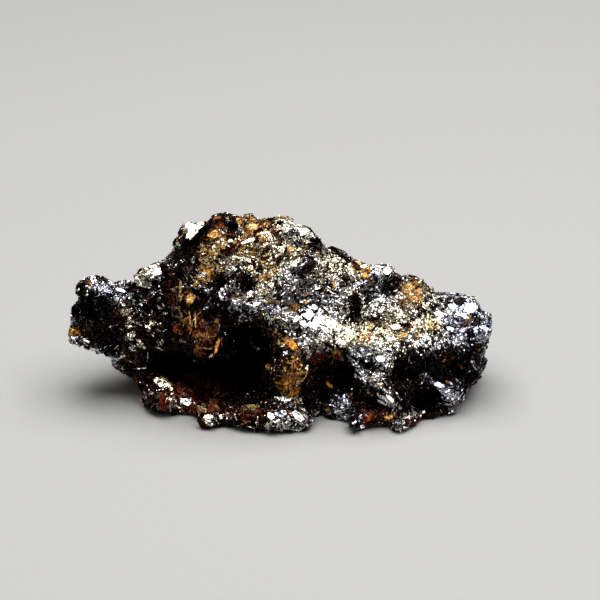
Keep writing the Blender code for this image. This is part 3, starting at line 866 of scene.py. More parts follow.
def store(mesh: bpy.types.Mesh, name: str, values: Array, domain: str) -> None:
    """Stores a number for each POINT or FACE of a mesh."""
    attribute = mesh.attributes.new(name, "FLOAT", domain)
    attribute.data.foreach_set("value", values.astype(np.float32))


def finish_piece(item: bpy.types.Object, material: bpy.types.Material) -> bpy.types.Object:
    """Gives a piece its material and its place in the frame.

    Args:
        item: The piece.
        material: Its finish.

    Returns:
        The piece.
    """
    item.data.materials.clear()
    item.data.materials.append(material)
    item.data.shade_flat()
    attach(item, BODY)
    return item


# --- Groundmass --------------------------------------------------------------------------------------


@dataclass(frozen=True)
class Groundmass:
    """The rock under the plates.

    Attributes:
        voxel: Size of its mesh.
        sunk: How far it lies under the CAD skin, so that the plates reach that skin.
        facet: Spacing of its small flat faces.
        lean: How far those faces lean.
        step: How far they step in and out.
        reach: How far a vertex moves onto its face at most, as a share of the spacing.
        wall: How far out of the display direction a wall may lie.
        crag: Height and spacing of the crags on the walls.
        fine_crag: How high, and how much closer, the finer crags are.
        smoothing: Rounds of smoothing that give the normals of the skin at large, and those of
            the small faces.
    """

    voxel: float = 0.46
    sunk: float = 0.3
    facet: float = 1.25
    lean: float = 0.5
    step: float = 0.16
    reach: float = 0.45
    wall: float = 0.6
    crag: tuple[float, float] = (0.9, 3.0)
    fine_crag: tuple[float, float] = (0.5, 2.3)
    smoothing: tuple[int, int] = (14, 2)

    def build(self, rng: np.random.Generator) -> "Skin":
        """Makes the rock from the CAD node.

        Args:
            rng: The random generator.

        Returns:
            The skin that the plates grow on.
        """
        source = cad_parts[NODE]
        item = bpy.data.objects.new("groundmass", source.data.copy())
        bpy.context.scene.collection.objects.link(item)
        apply_modifier(item, "REMESH", mode="VOXEL", voxel_size=self.voxel * MM)
        mesh = item.data
        points = mesh_points(mesh)
        normals = mesh_normals(mesh)
        broad, fine = (smoothed(mesh, normals, rounds) for rounds in self.smoothing)
        wall = np.clip(1.0 - np.abs(broad @ DISPLAY.towards) / self.wall, 0.0, 1.0)
        height, spacing = self.crag
        push = wall * self.swell(points, spacing) * height - self.sunk
        base = points[:, 2] < self.sunk
        push[base] = 0.0
        points = points + normals * push[:, None]
        points = self.facetted(points, fine, rng)
        points[base, 2] = 0.0
        points = np.clip(points, *box_corners())
        set_points(mesh, points)
        shares = CoatField().shares(points, broad)
        for coat in (Coat.SILVER, Coat.OCHRE, Coat.RUST):
            store(mesh, coat.value, shares[coat], "POINT")
        store(mesh, "sparkle", np.ones(len(points)), "POINT")
        finish_piece(item, GroundmassFinish().build())
        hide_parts(NODE)
        tree = BVHTree.FromObject(item, bpy.context.evaluated_depsgraph_get())
        return Skin(item, points, broad, base, tree)

    def swell(self, points: Array, spacing: float) -> Array:
        """How the crags swell at some points.

        Args:
            points: N by 3, in millimetres.
            spacing: The crags' spacing.

        Returns:
            N shares of their height, some of them below nought.
        """
        share, closer = self.fine_crag
        fine = patchiness(points, spacing / closer, FINE_CRAG_DRIFT)
        return patchiness(points, spacing, CRAG_DRIFT) + share * fine

    def facetted(self, points: Array, normals: Array, rng: np.random.Generator) -> Array:
        """Points flattened into small faces.

        Args:
            points: N by 3, in millimetres.
            normals: Their normals.
            rng: The random generator.

        Returns:
            The moved points.
        """
        seeds = thinned(points, self.facet, rng)
        faces = unit(normals[seeds] + rng.normal(size=(len(seeds), 3)) * self.lean)
        middles = points[seeds] + normals[seeds] * rng.normal(size=(len(seeds), 1)) * self.step
        tree = search_tree(middles)
        near = np.array([tree.find(p)[1] for p in points])
        away = dots(points - middles[near], faces[near])
        limit = self.facet * self.reach
        return points - faces[near] * np.clip(away, -limit, limit)[:, None]


@dataclass
class Skin:
    """The rock's surface, on which plates grow.

    Attributes:
        piece: The rock.
        points: Its vertices, in millimetres.
        normals: The normals of the skin at large.
        base: Which vertices are on the underside.
        tree: Finds where a ray meets it.
        beyond: How far from the origin rays start, past all of the rock.
    """

    piece: bpy.types.Object
    points: Array
    normals: Array
    base: Array
    tree: BVHTree
    beyond: float = 80.0

    def hit(self, across: float, up: float) -> Array:
        """Finds where the display direction through a place meets the rock.

        Args:
            across: Place across the displayed face.
            up: Place up it.

        Returns:
            The point, in millimetres.
        """
        start = np.array([across, 0.0, 0.0]) + DISPLAY.up * up + DISPLAY.towards * self.beyond
        point, _, _, _ = self.tree.ray_cast(Vector(start * MM), Vector(-DISPLAY.towards))
        return np.array(point) / MM


# --- Plates ------------------------------------------------------------------------------------------


class Form(Enum):
    """The forms of a crystal plate."""

    HEXAGON = 0
    SHARD = 1
    TERRACE = 2
    BOOK = 3
    SLIVER = 4


@dataclass(frozen=True)
class Pattern:
    """One plate form, of radius one and thickness one.

    Attributes:
        points: Its vertices.
        triangles: Its triangles.
    """

    points: Array
    triangles: Array


@dataclass(frozen=True)
class Layer:
    """One flat layer of a plate form.

    Attributes:
        sides: How many sides it has.
        foot: Its radius below.
        top: Its radius above.
        rise: How high its middle is.
        thick: How thick it is.
        slip: How far it has slipped sideways.
        ragged: How far its corners are out of place.
        slant: How far it has slipped the other way, as a share of slip.
    """

    sides: int
    foot: float
    top: float
    rise: float = 0.0
    thick: float = 1.0
    slip: float = 0.0
    ragged: float = 0.0
    slant: float = 0.4

    def build(self) -> bpy.types.Object:
        """Models the layer.

        Returns:
            The layer, as an object of its own.
        """
        tidy_selection()
        place = (self.slip, self.slant * self.slip, self.rise)
        bpy.ops.mesh.primitive_cone_add(
            vertices=self.sides, radius1=self.foot, radius2=self.top, depth=self.thick, location=place
        )
        item = bpy.context.object
        bpy.ops.object.transform_apply(location=True, rotation=True, scale=True)
        bpy.ops.object.mode_set(mode="EDIT")
        bpy.ops.mesh.select_all(action="SELECT")
        if self.ragged:
            bpy.ops.transform.vertex_random(offset=self.ragged, seed=self.sides)
        bpy.ops.mesh.normals_make_consistent(inside=False)
        bpy.ops.mesh.quads_convert_to_tris()
        bpy.ops.object.mode_set(mode="OBJECT")
        return item


LAYERS: dict[Form, tuple[Layer, ...]] = {
    Form.HEXAGON: rows(Layer, (6, 1.0, 0.86)),
    Form.SHARD: rows(Layer, (5, 1.0, 0.9, 0.0, 1.0, 0.0, 0.22)),
    Form.TERRACE: rows(Layer, (6, 1.0, 0.94, -0.15, 0.7), (3, 0.62, 0.56, 0.35, 0.4, 0.3)),
    Form.BOOK: rows(
        Layer,
        (6, 1.0, 0.96, -0.38, 0.24), (5, 0.9, 0.86, -0.02, 0.24, -0.1), (6, 0.84, 0.8, 0.34, 0.26, 0.14),
    ),
    Form.SLIVER: rows(Layer, (3, 1.0, 0.9)),
}


class PlateForge:
    """Models each plate form once."""

    def build(self) -> dict[Form, Pattern]:
        """Makes all the forms."""
        return {form: self.take([layer.build() for layer in layers]) for form, layers in LAYERS.items()}

    @staticmethod
    def take(layers: list[bpy.types.Object]) -> Pattern:
        """Joins layers into a pattern and removes their object.

        Args:
            layers: The layers.

        Returns:
            The pattern.
        """
        make_active(layers[0])
        for item in layers:
            item.select_set(True)
        if len(layers) > 1:
            bpy.ops.object.join()
        whole = bpy.context.object
        triangles = np.array([tuple(face.vertices) for face in whole.data.polygons])
        pattern = Pattern(mesh_points(whole.data) * MM, triangles)
        bpy.data.objects.remove(whole, do_unlink=True)
        return pattern


@dataclass
class Plates:
    """Plates that have a place and a shape, and no mesh yet.

    Attributes:
        middles: N by 3, in millimetres.
        axes: N by 3 unit normals of the plates.
        asides: N by 3 directions of their longer widths.
        halves: N by 3: the two half widths and the thickness.
        forms: N form numbers.
        tones: N numbers from nought, dark, to one, bright.
        sparkles: N numbers: how far the crystals within each plate lean.
    """

    middles: Array
    axes: Array
    asides: Array
    halves: Array
    forms: Array
    tones: Array
    sparkles: Array

    def pick(self, chosen: Array) -> "Plates":
        """Some of the plates."""
        return Plates(*(values[chosen] for values in vars(self).values()))

    @staticmethod
    def together(lots: list["Plates"]) -> "Plates":
        """Several lots of plates as one."""
        return Plates(*(np.concatenate(values) for values in zip(*(vars(lot).values() for lot in lots))))

    def frames(self) -> Array:
        """Each plate's own axes, as the columns of a matrix."""
        aside = unit(self.asides - self.axes * dots(self.asides, self.axes)[:, None])
        return np.stack([aside, np.cross(self.axes, aside), self.axes], axis=2)

    def mesh(self, name: str, patterns: dict[Form, Pattern], tints: Array) -> bpy.types.Object:
        """Makes one joined mesh of the plates.

        Args:
            name: The object's name.
            patterns: The plate forms.
            tints: A number for each plate: nought is cool, one is warm, and three is the most,
                which turns an ochre coat to straw.

        Returns:
            The object, with the attributes tone, tint and sparkle on its faces.
        """
        frames = self.frames()
        points, triangles = [], []
        sources = {"tone": self.tones, "tint": tints, "sparkle": self.sparkles}
        values: dict[str, list[Array]] = {key: [] for key in sources}
        count = 0
        for form, pattern in patterns.items():
            chosen = np.flatnonzero(self.forms == form.value)
            if not len(chosen):
                continue
            scaled = frames[chosen] * self.halves[chosen][:, None, :]
            placed = np.einsum("nij,pj->npi", scaled, pattern.points) + self.middles[chosen][:, None, :]
            starts = count + np.arange(len(chosen)) * len(pattern.points)
            points.append(inside_box(placed).reshape(-1, 3))
            triangles.append((pattern.triangles[None] + starts[:, None, None]).reshape(-1, 3))
            for key, source in sources.items():
                values[key].append(np.repeat(source[chosen], len(pattern.triangles)))
            count += placed.shape[0] * placed.shape[1]
        item = new_object(name, np.concatenate(points), np.concatenate(triangles))
        for key, parts in values.items():
            store(item.data, key, np.concatenate(parts), "FACE")
        return item


def inside_box(placed: Array) -> Array:
    """Plates moved inside the CAD box where they would leave it.

    Args:
        placed: The points of each plate, N by P by 3, in millimetres.

    Returns:
        The moved points.
    """
    low, high = box_corners()
    under = np.minimum(placed.min(1) - low, 0.0)
    over = np.maximum(placed.max(1) - high, 0.0)
    return placed - (under + over)[:, None, :]


# Keeps a direction from having no length.
NUDGE = 1e-6


@dataclass(frozen=True)
class Habit:
    """How often a plate form comes, and how big.

    Attributes:
        form: The form.
        share: Its share of the plates.
        half: Its median half width.
        thickness: Its range of thicknesses.
        stretch: How many times longer than wide it is.
    """

    form: Form
    share: float
    half: float
    thickness: tuple[float, float]
    stretch: tuple[float, float] = (1.0, 2.0)


@dataclass(frozen=True)
class Growth:
    """Plates grown at random all over the rock.

    Attributes:
        count: How many plates there are.
        habits: Their forms and sizes.
        patch: Spacing of the patches whose plates lie alike.
        blur: How far the patches run into each other.
        patch_lean: How far a patch's plates lean from the skin.
        standing: Share of the patches whose plates stand on edge.
        outward: How far those plates lean outwards.
        own_lean: How far a plate leans from its patch.
        loose: Share of the plates that lie at random.
        loose_lean: How far those plates lean from the skin.
        veer: How far the length of a plate veers from its patch's.
        edge_pull: How much the length of a plate on edge keeps to the skin.
        spread: How much half widths vary.
        largest: The largest half width.
        scatter: How far plates are moved at random.
        proud: How far the middle of a plate that lies flat is above the rock.
        sunk: Share of its half width by which a plate on edge is sunk.
        lowest: The lowest place where they grow.
        sparkle: How far the crystals within the plates lean, as a share of the most.
        glow_pull: How far the plates of a bright silver zone turn to the light.
        glow_tone: How much brighter they are: a painted highlight on their colour.
        avoids: Zones where none grow.
        shut: Strength from which such a zone is shut.
    """

    count: int
    habits: tuple[Habit, ...]
    patch: float = 4.2
    blur: float = 0.25
    patch_lean: float = 0.5
    standing: float = 0.34
    outward: float = 0.3
    own_lean: float = 0.2
    loose: float = 0.22
    loose_lean: float = 0.9
    veer: float = 0.35
    edge_pull: float = 2.0
    spread: float = 0.34
    largest: float = 1.7
    scatter: float = 0.1
    proud: float = 0.1
    sunk: float = 0.4
    lowest: float = 0.35
    sparkle: float = 1.0
    glow_pull: float = 0.95
    glow_tone: float = 0.6
    avoids: tuple[Spot, ...] = ()
    shut: float = 0.2

    def grow(self, skin: Skin, rng: np.random.Generator) -> tuple[Plates, Array]:
        """Grows the plates.

        Args:
            skin: What they grow on.
            rng: The random generator.

        Returns:
            The plates, and the skin's normals under them.
        """
        across, up = DISPLAY.project(skin.points)
        shut = total(self.avoids, across, up) > self.shut
        free = np.flatnonzero(~skin.base & ~shut & (skin.points[:, 2] > self.lowest))
        chosen = rng.choice(free, min(self.count, len(free)), replace=False)
        points, normals = skin.points[chosen], skin.normals[chosen]
        axes, asides = self.lie(points, normals, rng)
        forms, halves = self.sizes(len(points), rng)
        stand = np.sqrt(np.maximum(0.0, 1.0 - dots(axes, normals) ** 2))
        sink = self.sunk * stand * halves[:, 1] - self.proud
        middles = points + rng.normal(size=points.shape) * self.scatter - normals * sink[:, None]
        # Painted highlight: the plates of the lit silver zones are given brighter tones as well as being
        # turned to the light.
        glow = CoatField().glow(points, normals) * self.glow_tone
        tones = rng.random(len(points)) * (1.0 - glow) + glow
        sparkles = np.full(len(points), self.sparkle)
        return Plates(middles, axes, asides, halves, forms, tones, sparkles), normals

    def lie(self, points: Array, normals: Array, rng: np.random.Generator) -> tuple[Array, Array]:
        """Works out how each plate lies.

        Args:
            points: Where the plates are.
            normals: The skin's normals there.
            rng: The random generator.

        Returns:
            The plates' unit normals, and the directions of their longer widths.
        """
        patches = thinned(points, self.patch, rng)
        leans = rng.normal(size=(len(patches), 3))
        ways = unit(rng.normal(size=(len(patches), 3)))
        upright = rng.random(len(patches)) < self.standing
        tree = search_tree(points[patches])
        near = np.array([tree.find(p + rng.normal(size=3) * self.blur)[1] for p in points])
        wobble = rng.normal(size=points.shape)
        flat = normals + leans[near] * self.patch_lean + wobble * self.own_lean
        edgewise = unit(np.cross(normals, ways[near]))
        stood = edgewise + self.outward * normals + wobble * self.own_lean
        alone = normals + rng.normal(size=points.shape) * self.loose_lean
        axes = np.where(upright[near][:, None], stood, flat)
        glow = CoatField().glow(points, normals)[:, None] * self.glow_pull
        axes = unit(axes) * (1.0 - glow) + LIGHTWARD * glow
        loose = rng.random(len(points)) < self.loose
        axes = unit(np.where(loose[:, None], alone, axes))
        outward = dots(axes, normals)[:, None]
        axes = axes * np.where(outward < 0.0, -1.0, 1.0)
        along = unit(ways[near] + rng.normal(size=points.shape) * self.veer)
        along = along - normals * dots(along, normals)[:, None]
        edge = np.cross(axes, normals)
        edge = edge * np.where(dots(edge, along)[:, None] < 0.0, -1.0, 1.0)
        return axes, unit(along * outward**2 + edge * self.edge_pull + NUDGE)

    def sizes(self, count: int, rng: np.random.Generator) -> tuple[Array, Array]:
        """Draws forms, half widths and thicknesses.

        Args:
            count: How many.
            rng: The random generator.

        Returns:
            N form numbers, and N by 3 sizes.
        """
        habit = rng.choice(len(self.habits), count, p=[h.share for h in self.habits])
        forms = np.array([h.form.value for h in self.habits])[habit]
        median = np.array([h.half for h in self.habits])[habit]
        thin, thick = np.array([h.thickness for h in self.habits])[habit].T
        least, most = np.array([h.stretch for h in self.habits])[habit].T
        wide = np.minimum(median * np.exp(rng.normal(size=count) * self.spread), self.largest)
        long = np.minimum(wide * rng.uniform(least, most), self.largest)
        return forms, np.stack([long, wide, rng.uniform(thin, thick)], axis=1)


# Small open pits, which large plates leave free.
PITS = rows(
    Spot,
    (-11.6, 20.9, 1.9, 1.9), (-6.3, 20.7, 1.9, 1.9), (-36.6, 14.6, 2.6, 2.4), (14.6, 15.0, 2.6, 1.6, 60),
)
CRUST = Growth(
    count=50000,
    habits=(
        Habit(Form.HEXAGON, 0.17, 0.4, (0.07, 0.16)),
        Habit(Form.SHARD, 0.22, 0.46, (0.06, 0.12)),
        Habit(Form.SLIVER, 0.5, 0.18, (0.08, 0.18), (3.0, 8.0)),
        Habit(Form.TERRACE, 0.05, 0.6, (0.2, 0.36)),
        Habit(Form.BOOK, 0.06, 0.54, (0.5, 0.9)),
    ),
)
SLABS = Growth(
    count=620,
    habits=(
        Habit(Form.SHARD, 0.35, 1.3, (0.25, 0.5)),
        Habit(Form.TERRACE, 0.35, 1.3, (0.4, 0.8)),
        Habit(Form.BOOK, 0.3, 1.2, (0.9, 1.5)),
    ),
    patch_lean=0.4,
    standing=0.16,
    own_lean=0.3,
    loose=0.1,
    largest=2.3,
    avoids=PITS,
    proud=0.0,
    sparkle=0.8,
)


@dataclass(frozen=True)
class Blade:
    """A large plate with a place of its own on the displayed face.

    Attributes:
        across: Its place across the face.
        up: Its place up it.
        long: Its half length.
        wide: Its half width.
        turn: Direction of its length, in degrees from level.
        facing: Where it faces: to the right, up the face and towards the viewer.
        tone: From nought, dark, to one, bright.
        proud: How far its middle is in front of the rock.
        form: Its form.
        thick: Its thickness.
        sparkle: How far the crystals within it lean, as a share of the most.
    """

    across: float
    up: float
    long: float
    wide: float
    turn: float
    facing: tuple[float, float, float]
    tone: float = 1.0
    proud: float = 0.4
    form: Form = Form.SHARD
    thick: float = 0.35
    sparkle: float = 0.35

    def place(self, skin: Skin) -> Plates:
        """Sets the blade on the rock.

        Args:
            skin: The rock.

        Returns:
            The blade, as plates of which there is one.
        """
        point = skin.hit(self.across, self.up)
        right = np.array([1.0, 0.0, 0.0])
        axis = unit(np.stack([right, DISPLAY.up, DISPLAY.towards], axis=1) @ np.array(self.facing))
        turn = math.radians(self.turn)
        return Plates(
            middles=(point + DISPLAY.towards * self.proud)[None],
            axes=axis[None],
            asides=(right * math.cos(turn) + DISPLAY.up * math.sin(turn))[None],
            halves=np.array([[self.long, self.wide, self.thick]]),
            forms=np.array([self.form.value]),
            tones=np.array([self.tone]),
            sparkles=np.array([self.sparkle]),
        )


# Ways to face: into the light, so that a plate flashes, and away from it.
LIT = (0.0, 0.45, 0.8)
RIGHT_LIT = (0.25, 0.45, 0.8)
LEFT_LIT = (-0.25, 0.45, 0.8)
DIM = (0.1, -0.1, 1.0)

BLADES: dict[Coat, tuple[Blade, ...]] = {
    Coat.SILVER: rows(
        Blade,
        (-16.9, 31.1, 2.2, 2.6, 160, LIT, 0.55, 0.6, Form.SLIVER),
        (-18.1, 32.0, 0.8, 0.5, 70, LIT, 1.0, 0.8), (-15.6, 32.3, 0.9, 0.4, 6, RIGHT_LIT, 1.0, 0.8),
        (-18.0, 29.9, 0.8, 0.4, 70, RIGHT_LIT, 1.0, 0.7), (-16.4, 30.6, 0.7, 0.4, 50, LEFT_LIT, 1.0, 0.8),
        (-6.0, 28.9, 1.9, 0.4, 28, LIT, 0.9, 0.5), (4.2, 30.7, 1.4, 0.9, 0, LIT, 1.0, 0.4, Form.TERRACE),
        (3.6, 24.6, 1.7, 0.8, 20, LIT, 0.3, 0.4, Form.TERRACE),
        (6.4, 25.1, 1.3, 0.9, 0, LIT, 0.27, 0.4, Form.HEXAGON), (-31.4, 19.2, 1.3, 0.4, -20, LIT, 0.9),
        (-23.8, 22.9, 1.7, 0.9, 30, LIT), (-23.0, 0.6, 2.6, 1.0, -42, LIT, 0.9, 0.5, Form.TERRACE, 0.5),
        (-18.6, -2.8, 1.5, 0.8, -25, LIT), (-14.0, -5.6, 1.1, 0.5, 0, LIT, 1.0, 0.4, Form.TERRACE),
        (-11.0, -5.6, 1.2, 0.7, 10, RIGHT_LIT), (-1.2, -6.0, 1.7, 0.9, -40, LIT),
        (3.6, -5.4, 1.5, 0.9, -50, RIGHT_LIT, 0.9, 0.4, Form.TERRACE), (1.0, -2.0, 1.8, 0.7, 0, LIT),
        (5.0, 4.4, 1.7, 0.8, 80, RIGHT_LIT), (5.4, 14.6, 1.7, 1.3, -30, LIT, 1.0, 0.35),
        (5.0, 12.8, 1.5, 1.0, 20, RIGHT_LIT, 1.0, 0.25), (7.9, 14.9, 1.3, 0.8, 60, LEFT_LIT, 1.0, 0.25),
        (6.9, 12.2, 1.5, 0.9, -20, LIT, 1.0, 0.2), (7.6, 13.4, 1.6, 1.0, 50, LIT, 1.0, 0.35, Form.TERRACE),
        (6.6, 15.9, 1.3, 0.7, 10, RIGHT_LIT, 1.0, 0.3), (10.2, 12.9, 1.4, 0.8, -20, LIT, 1.0, 0.3),
        (11.6, 11.6, 1.3, 0.7, 30, LIT, 1.0, 0.3), (13.6, 10.8, 1.2, 0.8, -60, LIT, 1.0, 0.3),
        (9.0, 11.4, 1.1, 0.6, -50, LIT, 1.0, 0.3), (3.2, 13.6, 1.0, 0.6, 70, LIT, 1.0, 0.3),
        (19.4, 23.4, 1.5, 1.0, 0, LIT, 1.0, 0.4, Form.TERRACE), (21.2, 23.0, 1.1, 0.9, 60, RIGHT_LIT),
        (20.0, 15.6, 1.2, 0.8, 70, LIT, 0.34), (22.8, 12.0, 1.1, 0.7, 10, LIT),
        (31.4, 14.6, 1.1, 0.7, 0, LIT), (37.6, 15.8, 1.5, 1.2, 30, LIT, 1.0, 0.4, Form.TERRACE),
        (36.2, 14.2, 0.9, 0.6, -40, RIGHT_LIT), (34.2, 16.0, 1.3, 0.8, 0, RIGHT_LIT),
        (33.6, 11.6, 0.9, 0.6, -20, LIT), (38.6, 11.6, 1.1, 0.6, 70, RIGHT_LIT, 0.4),
        (19.8, 5.8, 1.1, 0.9, 0, LIT), (19.8, 0.2, 1.5, 0.35, -50, RIGHT_LIT, 1.0, 0.5, Form.BOOK, 0.9),
        (21.3, -1.9, 1.5, 0.45, -54, RIGHT_LIT, 1.0, 0.5, Form.BOOK, 0.9),
        (15.6, 3.2, 1.3, 0.25, -50, RIGHT_LIT, 0.9), (30.8, 0.8, 2.0, 0.6, -25, LIT),
        (-40.4, 9.9, 0.8, 0.5, 0, LIT), (-38.0, 9.4, 1.0, 0.5, -20, LIT),
    ),
    Coat.BLACK: rows(
        Blade,
        (-16.1, 30.2, 3.4, 0.8, 41, DIM, 0.0, 0.5),
    ),
    Coat.OCHRE: rows(
        Blade,
        (-12.6, 30.2, 1.9, 1.1, 25, LIT, 1.0, 0.5), (-5.2, 31.6, 1.3, 0.9, 10, LIT, 0.9),
        (-19.4, 21.0, 3.2, 0.22, 82, RIGHT_LIT, 1.0, 0.6, Form.BOOK, 0.8),
        (-19.3, 14.6, 3.0, 0.24, 92, RIGHT_LIT, 0.6, 0.5, Form.BOOK, 0.8), (-17.4, 17.7, 1.6, 1.0, 70, LIT),
        (-17.6, 14.2, 2.2, 0.15, 88, RIGHT_LIT, 0.9, 0.5, Form.BOOK, 0.5),
        (-16.5, 13.2, 1.6, 0.13, 84, RIGHT_LIT, 1.0, 0.5, Form.BOOK, 0.5), (-12.2, 8.6, 2.6, 0.4, 80, LIT),
        (-22.4, 1.2, 1.9, 0.5, -42, LIT, 0.8, 0.8), (2.8, 15.8, 1.4, 0.9, 60, LIT),
        (2.4, 8.6, 1.9, 0.9, -50, LIT, 0.7), (1.6, 1.4, 1.3, 0.6, 60, LIT, 0.7),
        (-2.0, 4.2, 1.0, 0.8, 0, LIT, 0.6), (15.1, 24.3, 1.4, 1.0, 30, LIT, 1.0, 0.5, Form.HEXAGON),
        (14.0, 23.4, 0.9, 0.6, -30, RIGHT_LIT), (17.0, 22.2, 0.9, 0.8, 0, LIT, 0.8),
        (25.4, 19.6, 1.5, 1.2, 60, LIT), (26.6, 17.4, 1.7, 0.9, 0, RIGHT_LIT, 0.9),
        (27.4, 19.0, 1.2, 0.8, 90, LIT), (16.8, 10.0, 2.4, 0.5, 35, LIT, 0.8, 0.5),
        (18.0, 12.6, 1.9, 0.6, 70, RIGHT_LIT, 0.9, 0.5), (24.0, 10.4, 1.6, 0.7, 8, LIT),
        (29.5, 12.4, 1.1, 1.0, 0, LIT, 1.0, 0.6, Form.HEXAGON), (9.6, 1.0, 1.5, 0.6, -60, LIT, 0.8),
        (21.4, -5.6, 1.1, 0.6, 0, LIT),
    ),
    Coat.RUST: rows(
        Blade,
        (17.6, -5.4, 1.5, 0.5, 70, RIGHT_LIT, 0.8),
    ),
}


# What hides a blade: how far past its edge plates count, in squared half widths, how far
# behind its middle, in thicknesses, and how far in front of it.
BLADE_MARGIN, BLADE_BACK, BLADE_FRONT = 1.2, 0.5, 2.5


def clear_of(plates: Plates, blades: Plates, kept: Array) -> Array:
    """Finds the plates that don't hide a blade.

    Args:
        plates: The plates.
        blades: The blades.
        kept: Plates that may stay wherever they are.

    Returns:
        Which plates stay.
    """
    stays = np.ones(len(plates.middles), bool)
    for middle, axes, (long, wide, thick) in zip(blades.middles, blades.frames(), blades.halves):
        along, aside, above = ((plates.middles - middle) @ axes).T
        over = (along / long) ** 2 + (aside / wide) ** 2 < BLADE_MARGIN
        stays &= ~(over & (above > -BLADE_BACK * thick) & (above < BLADE_FRONT))
    return stays | kept


# --- Studio ------------------------------------------------------------------------------------------


@dataclass(frozen=True)
class SoftBox:
    """A soft light.

    Attributes:
        name: Its name.
        place: Where it is, in metres.
        size: Its width and depth, in metres.
        power: Its power, in watts.
        aim: What it points at, in metres.
    """

    name: str
    place: tuple[float, float, float]
    size: tuple[float, float]
    power: float
    aim: tuple[float, float, float] = (0.0, 0.0, 0.015)

    def build(self) -> None:
        """Adds the light."""
        light = bpy.data.lights.new(self.name, "AREA")
        light.shape = "RECTANGLE"
        light.size, light.size_y = self.size
        light.energy = self.power
        item = bpy.data.objects.new(self.name, light)
        item.location = self.place
        item.rotation_euler = (Vector(self.aim) - Vector(self.place)).to_track_quat("-Z", "Y").to_euler()
        bpy.context.scene.collection.objects.link(item)


@dataclass(frozen=True)
class Studio:
    """The floor, the lights and the camera.

    Attributes:
        floor_side: The floor's side, in metres.
        floor_colour: Its colour.
        floor_grain: Size of its faint grain.
        floor_shade: How dark and how light the grain makes it.
        floor_roughness: Its roughness.
        ambient: Strength of the light from all round.
        target: Where on the displayed face the camera points, across it and up it.
        distance: How far off the camera is, in metres.
        lens: Its focal length, in millimetres.
        boxes: The lights.
    """

    floor_side: float = 4.0
    floor_colour: Colour = (0.36, 0.356, 0.348)
    floor_grain: float = 1.5
    floor_shade: tuple[float, float] = (0.97, 1.03)
    floor_roughness: float = 0.9
    ambient: float = 0.08
    target: tuple[float, float] = (4.0, 17.34)
    distance: float = 1.0
    lens: float = 300.0
    boxes: tuple[SoftBox, ...] = (
        SoftBox("key", (0.05, 0.0, 0.55), (0.7, 0.7), 8.0),
        SoftBox("fill", (-0.5, -0.45, 0.45), (0.3, 0.3), 0.3),
    )

    def build(self) -> None:
        """Adds them all."""
        self.add_floor()
        for box in self.boxes:
            box.build()
        self.add_world()
        self.add_camera()

    def add_floor(self) -> None:
        """Adds a plain pale floor."""
        tidy_selection()
        bpy.ops.mesh.primitive_plane_add(size=self.floor_side)
        floor = bpy.context.object
        floor.name = "floor"
        graph = Graph("paper")
        grain = graph.ramp(graph.noise(self.floor_grain), 0.0, 1.0, self.floor_shade)
        graph.set("Base Color", graph.vector("SCALE", {0: self.floor_colour, "Scale": grain}))
        graph.set("Roughness", self.floor_roughness)
        floor.data.materials.append(graph.material)

    def add_world(self) -> None:
        """Adds a dim even light from all round."""
        world = bpy.data.worlds.new("studio")
        world.use_nodes = True
        background = world.node_tree.nodes["Background"]
        background.inputs["Color"].default_value = (1.0, 1.0, 1.0, 1.0)
        background.inputs["Strength"].default_value = self.ambient
        bpy.context.scene.world = world
        bpy.context.scene.view_settings.view_transform = "Standard"

    def add_camera(self) -> None:
        """Adds the camera at the display direction."""
        camera = bpy.data.cameras.new("camera")
        camera.lens = self.lens
        item = bpy.data.objects.new("camera", camera)
        across, up = self.target
        target = np.array([across, 0.0, 0.0]) * MM + DISPLAY.up * up * MM
        item.location = target + DISPLAY.towards * self.distance
        item.rotation_euler = Vector(-DISPLAY.towards).to_track_quat("-Z", "Y").to_euler()
        bpy.context.scene.collection.objects.link(item)
        bpy.context.scene.camera = item


# --- Everything --------------------------------------------------------------------------------------


FINISHES: dict[Coat, MetalFinish | EarthFinish] = {
    Coat.SILVER: MetalFinish("silver_plates", (0.022, 0.013, 0.011), (0.77, 0.79, 0.93), (0.96, 0.88, 0.64)),
    Coat.BLACK: MetalFinish(
        "black_plates", (0.002, 0.002, 0.002), (0.012, 0.011, 0.012), (0.034, 0.01, 0.005)
    ),
    Coat.OCHRE: EarthFinish(
        "ochre_plates", (0.1, 0.018, 0.004), (0.6, 0.2, 0.012), (1.0, 0.53, 0.06), (1.0, 0.86, 0.4), 0.49
    ),
    Coat.RUST: EarthFinish(
        "rust_plates",
        (0.06, 0.004, 0.002), (0.17, 0.012, 0.005), (0.42, 0.05, 0.012), (0.55, 0.16, 0.05), 0.5,
    ),
}


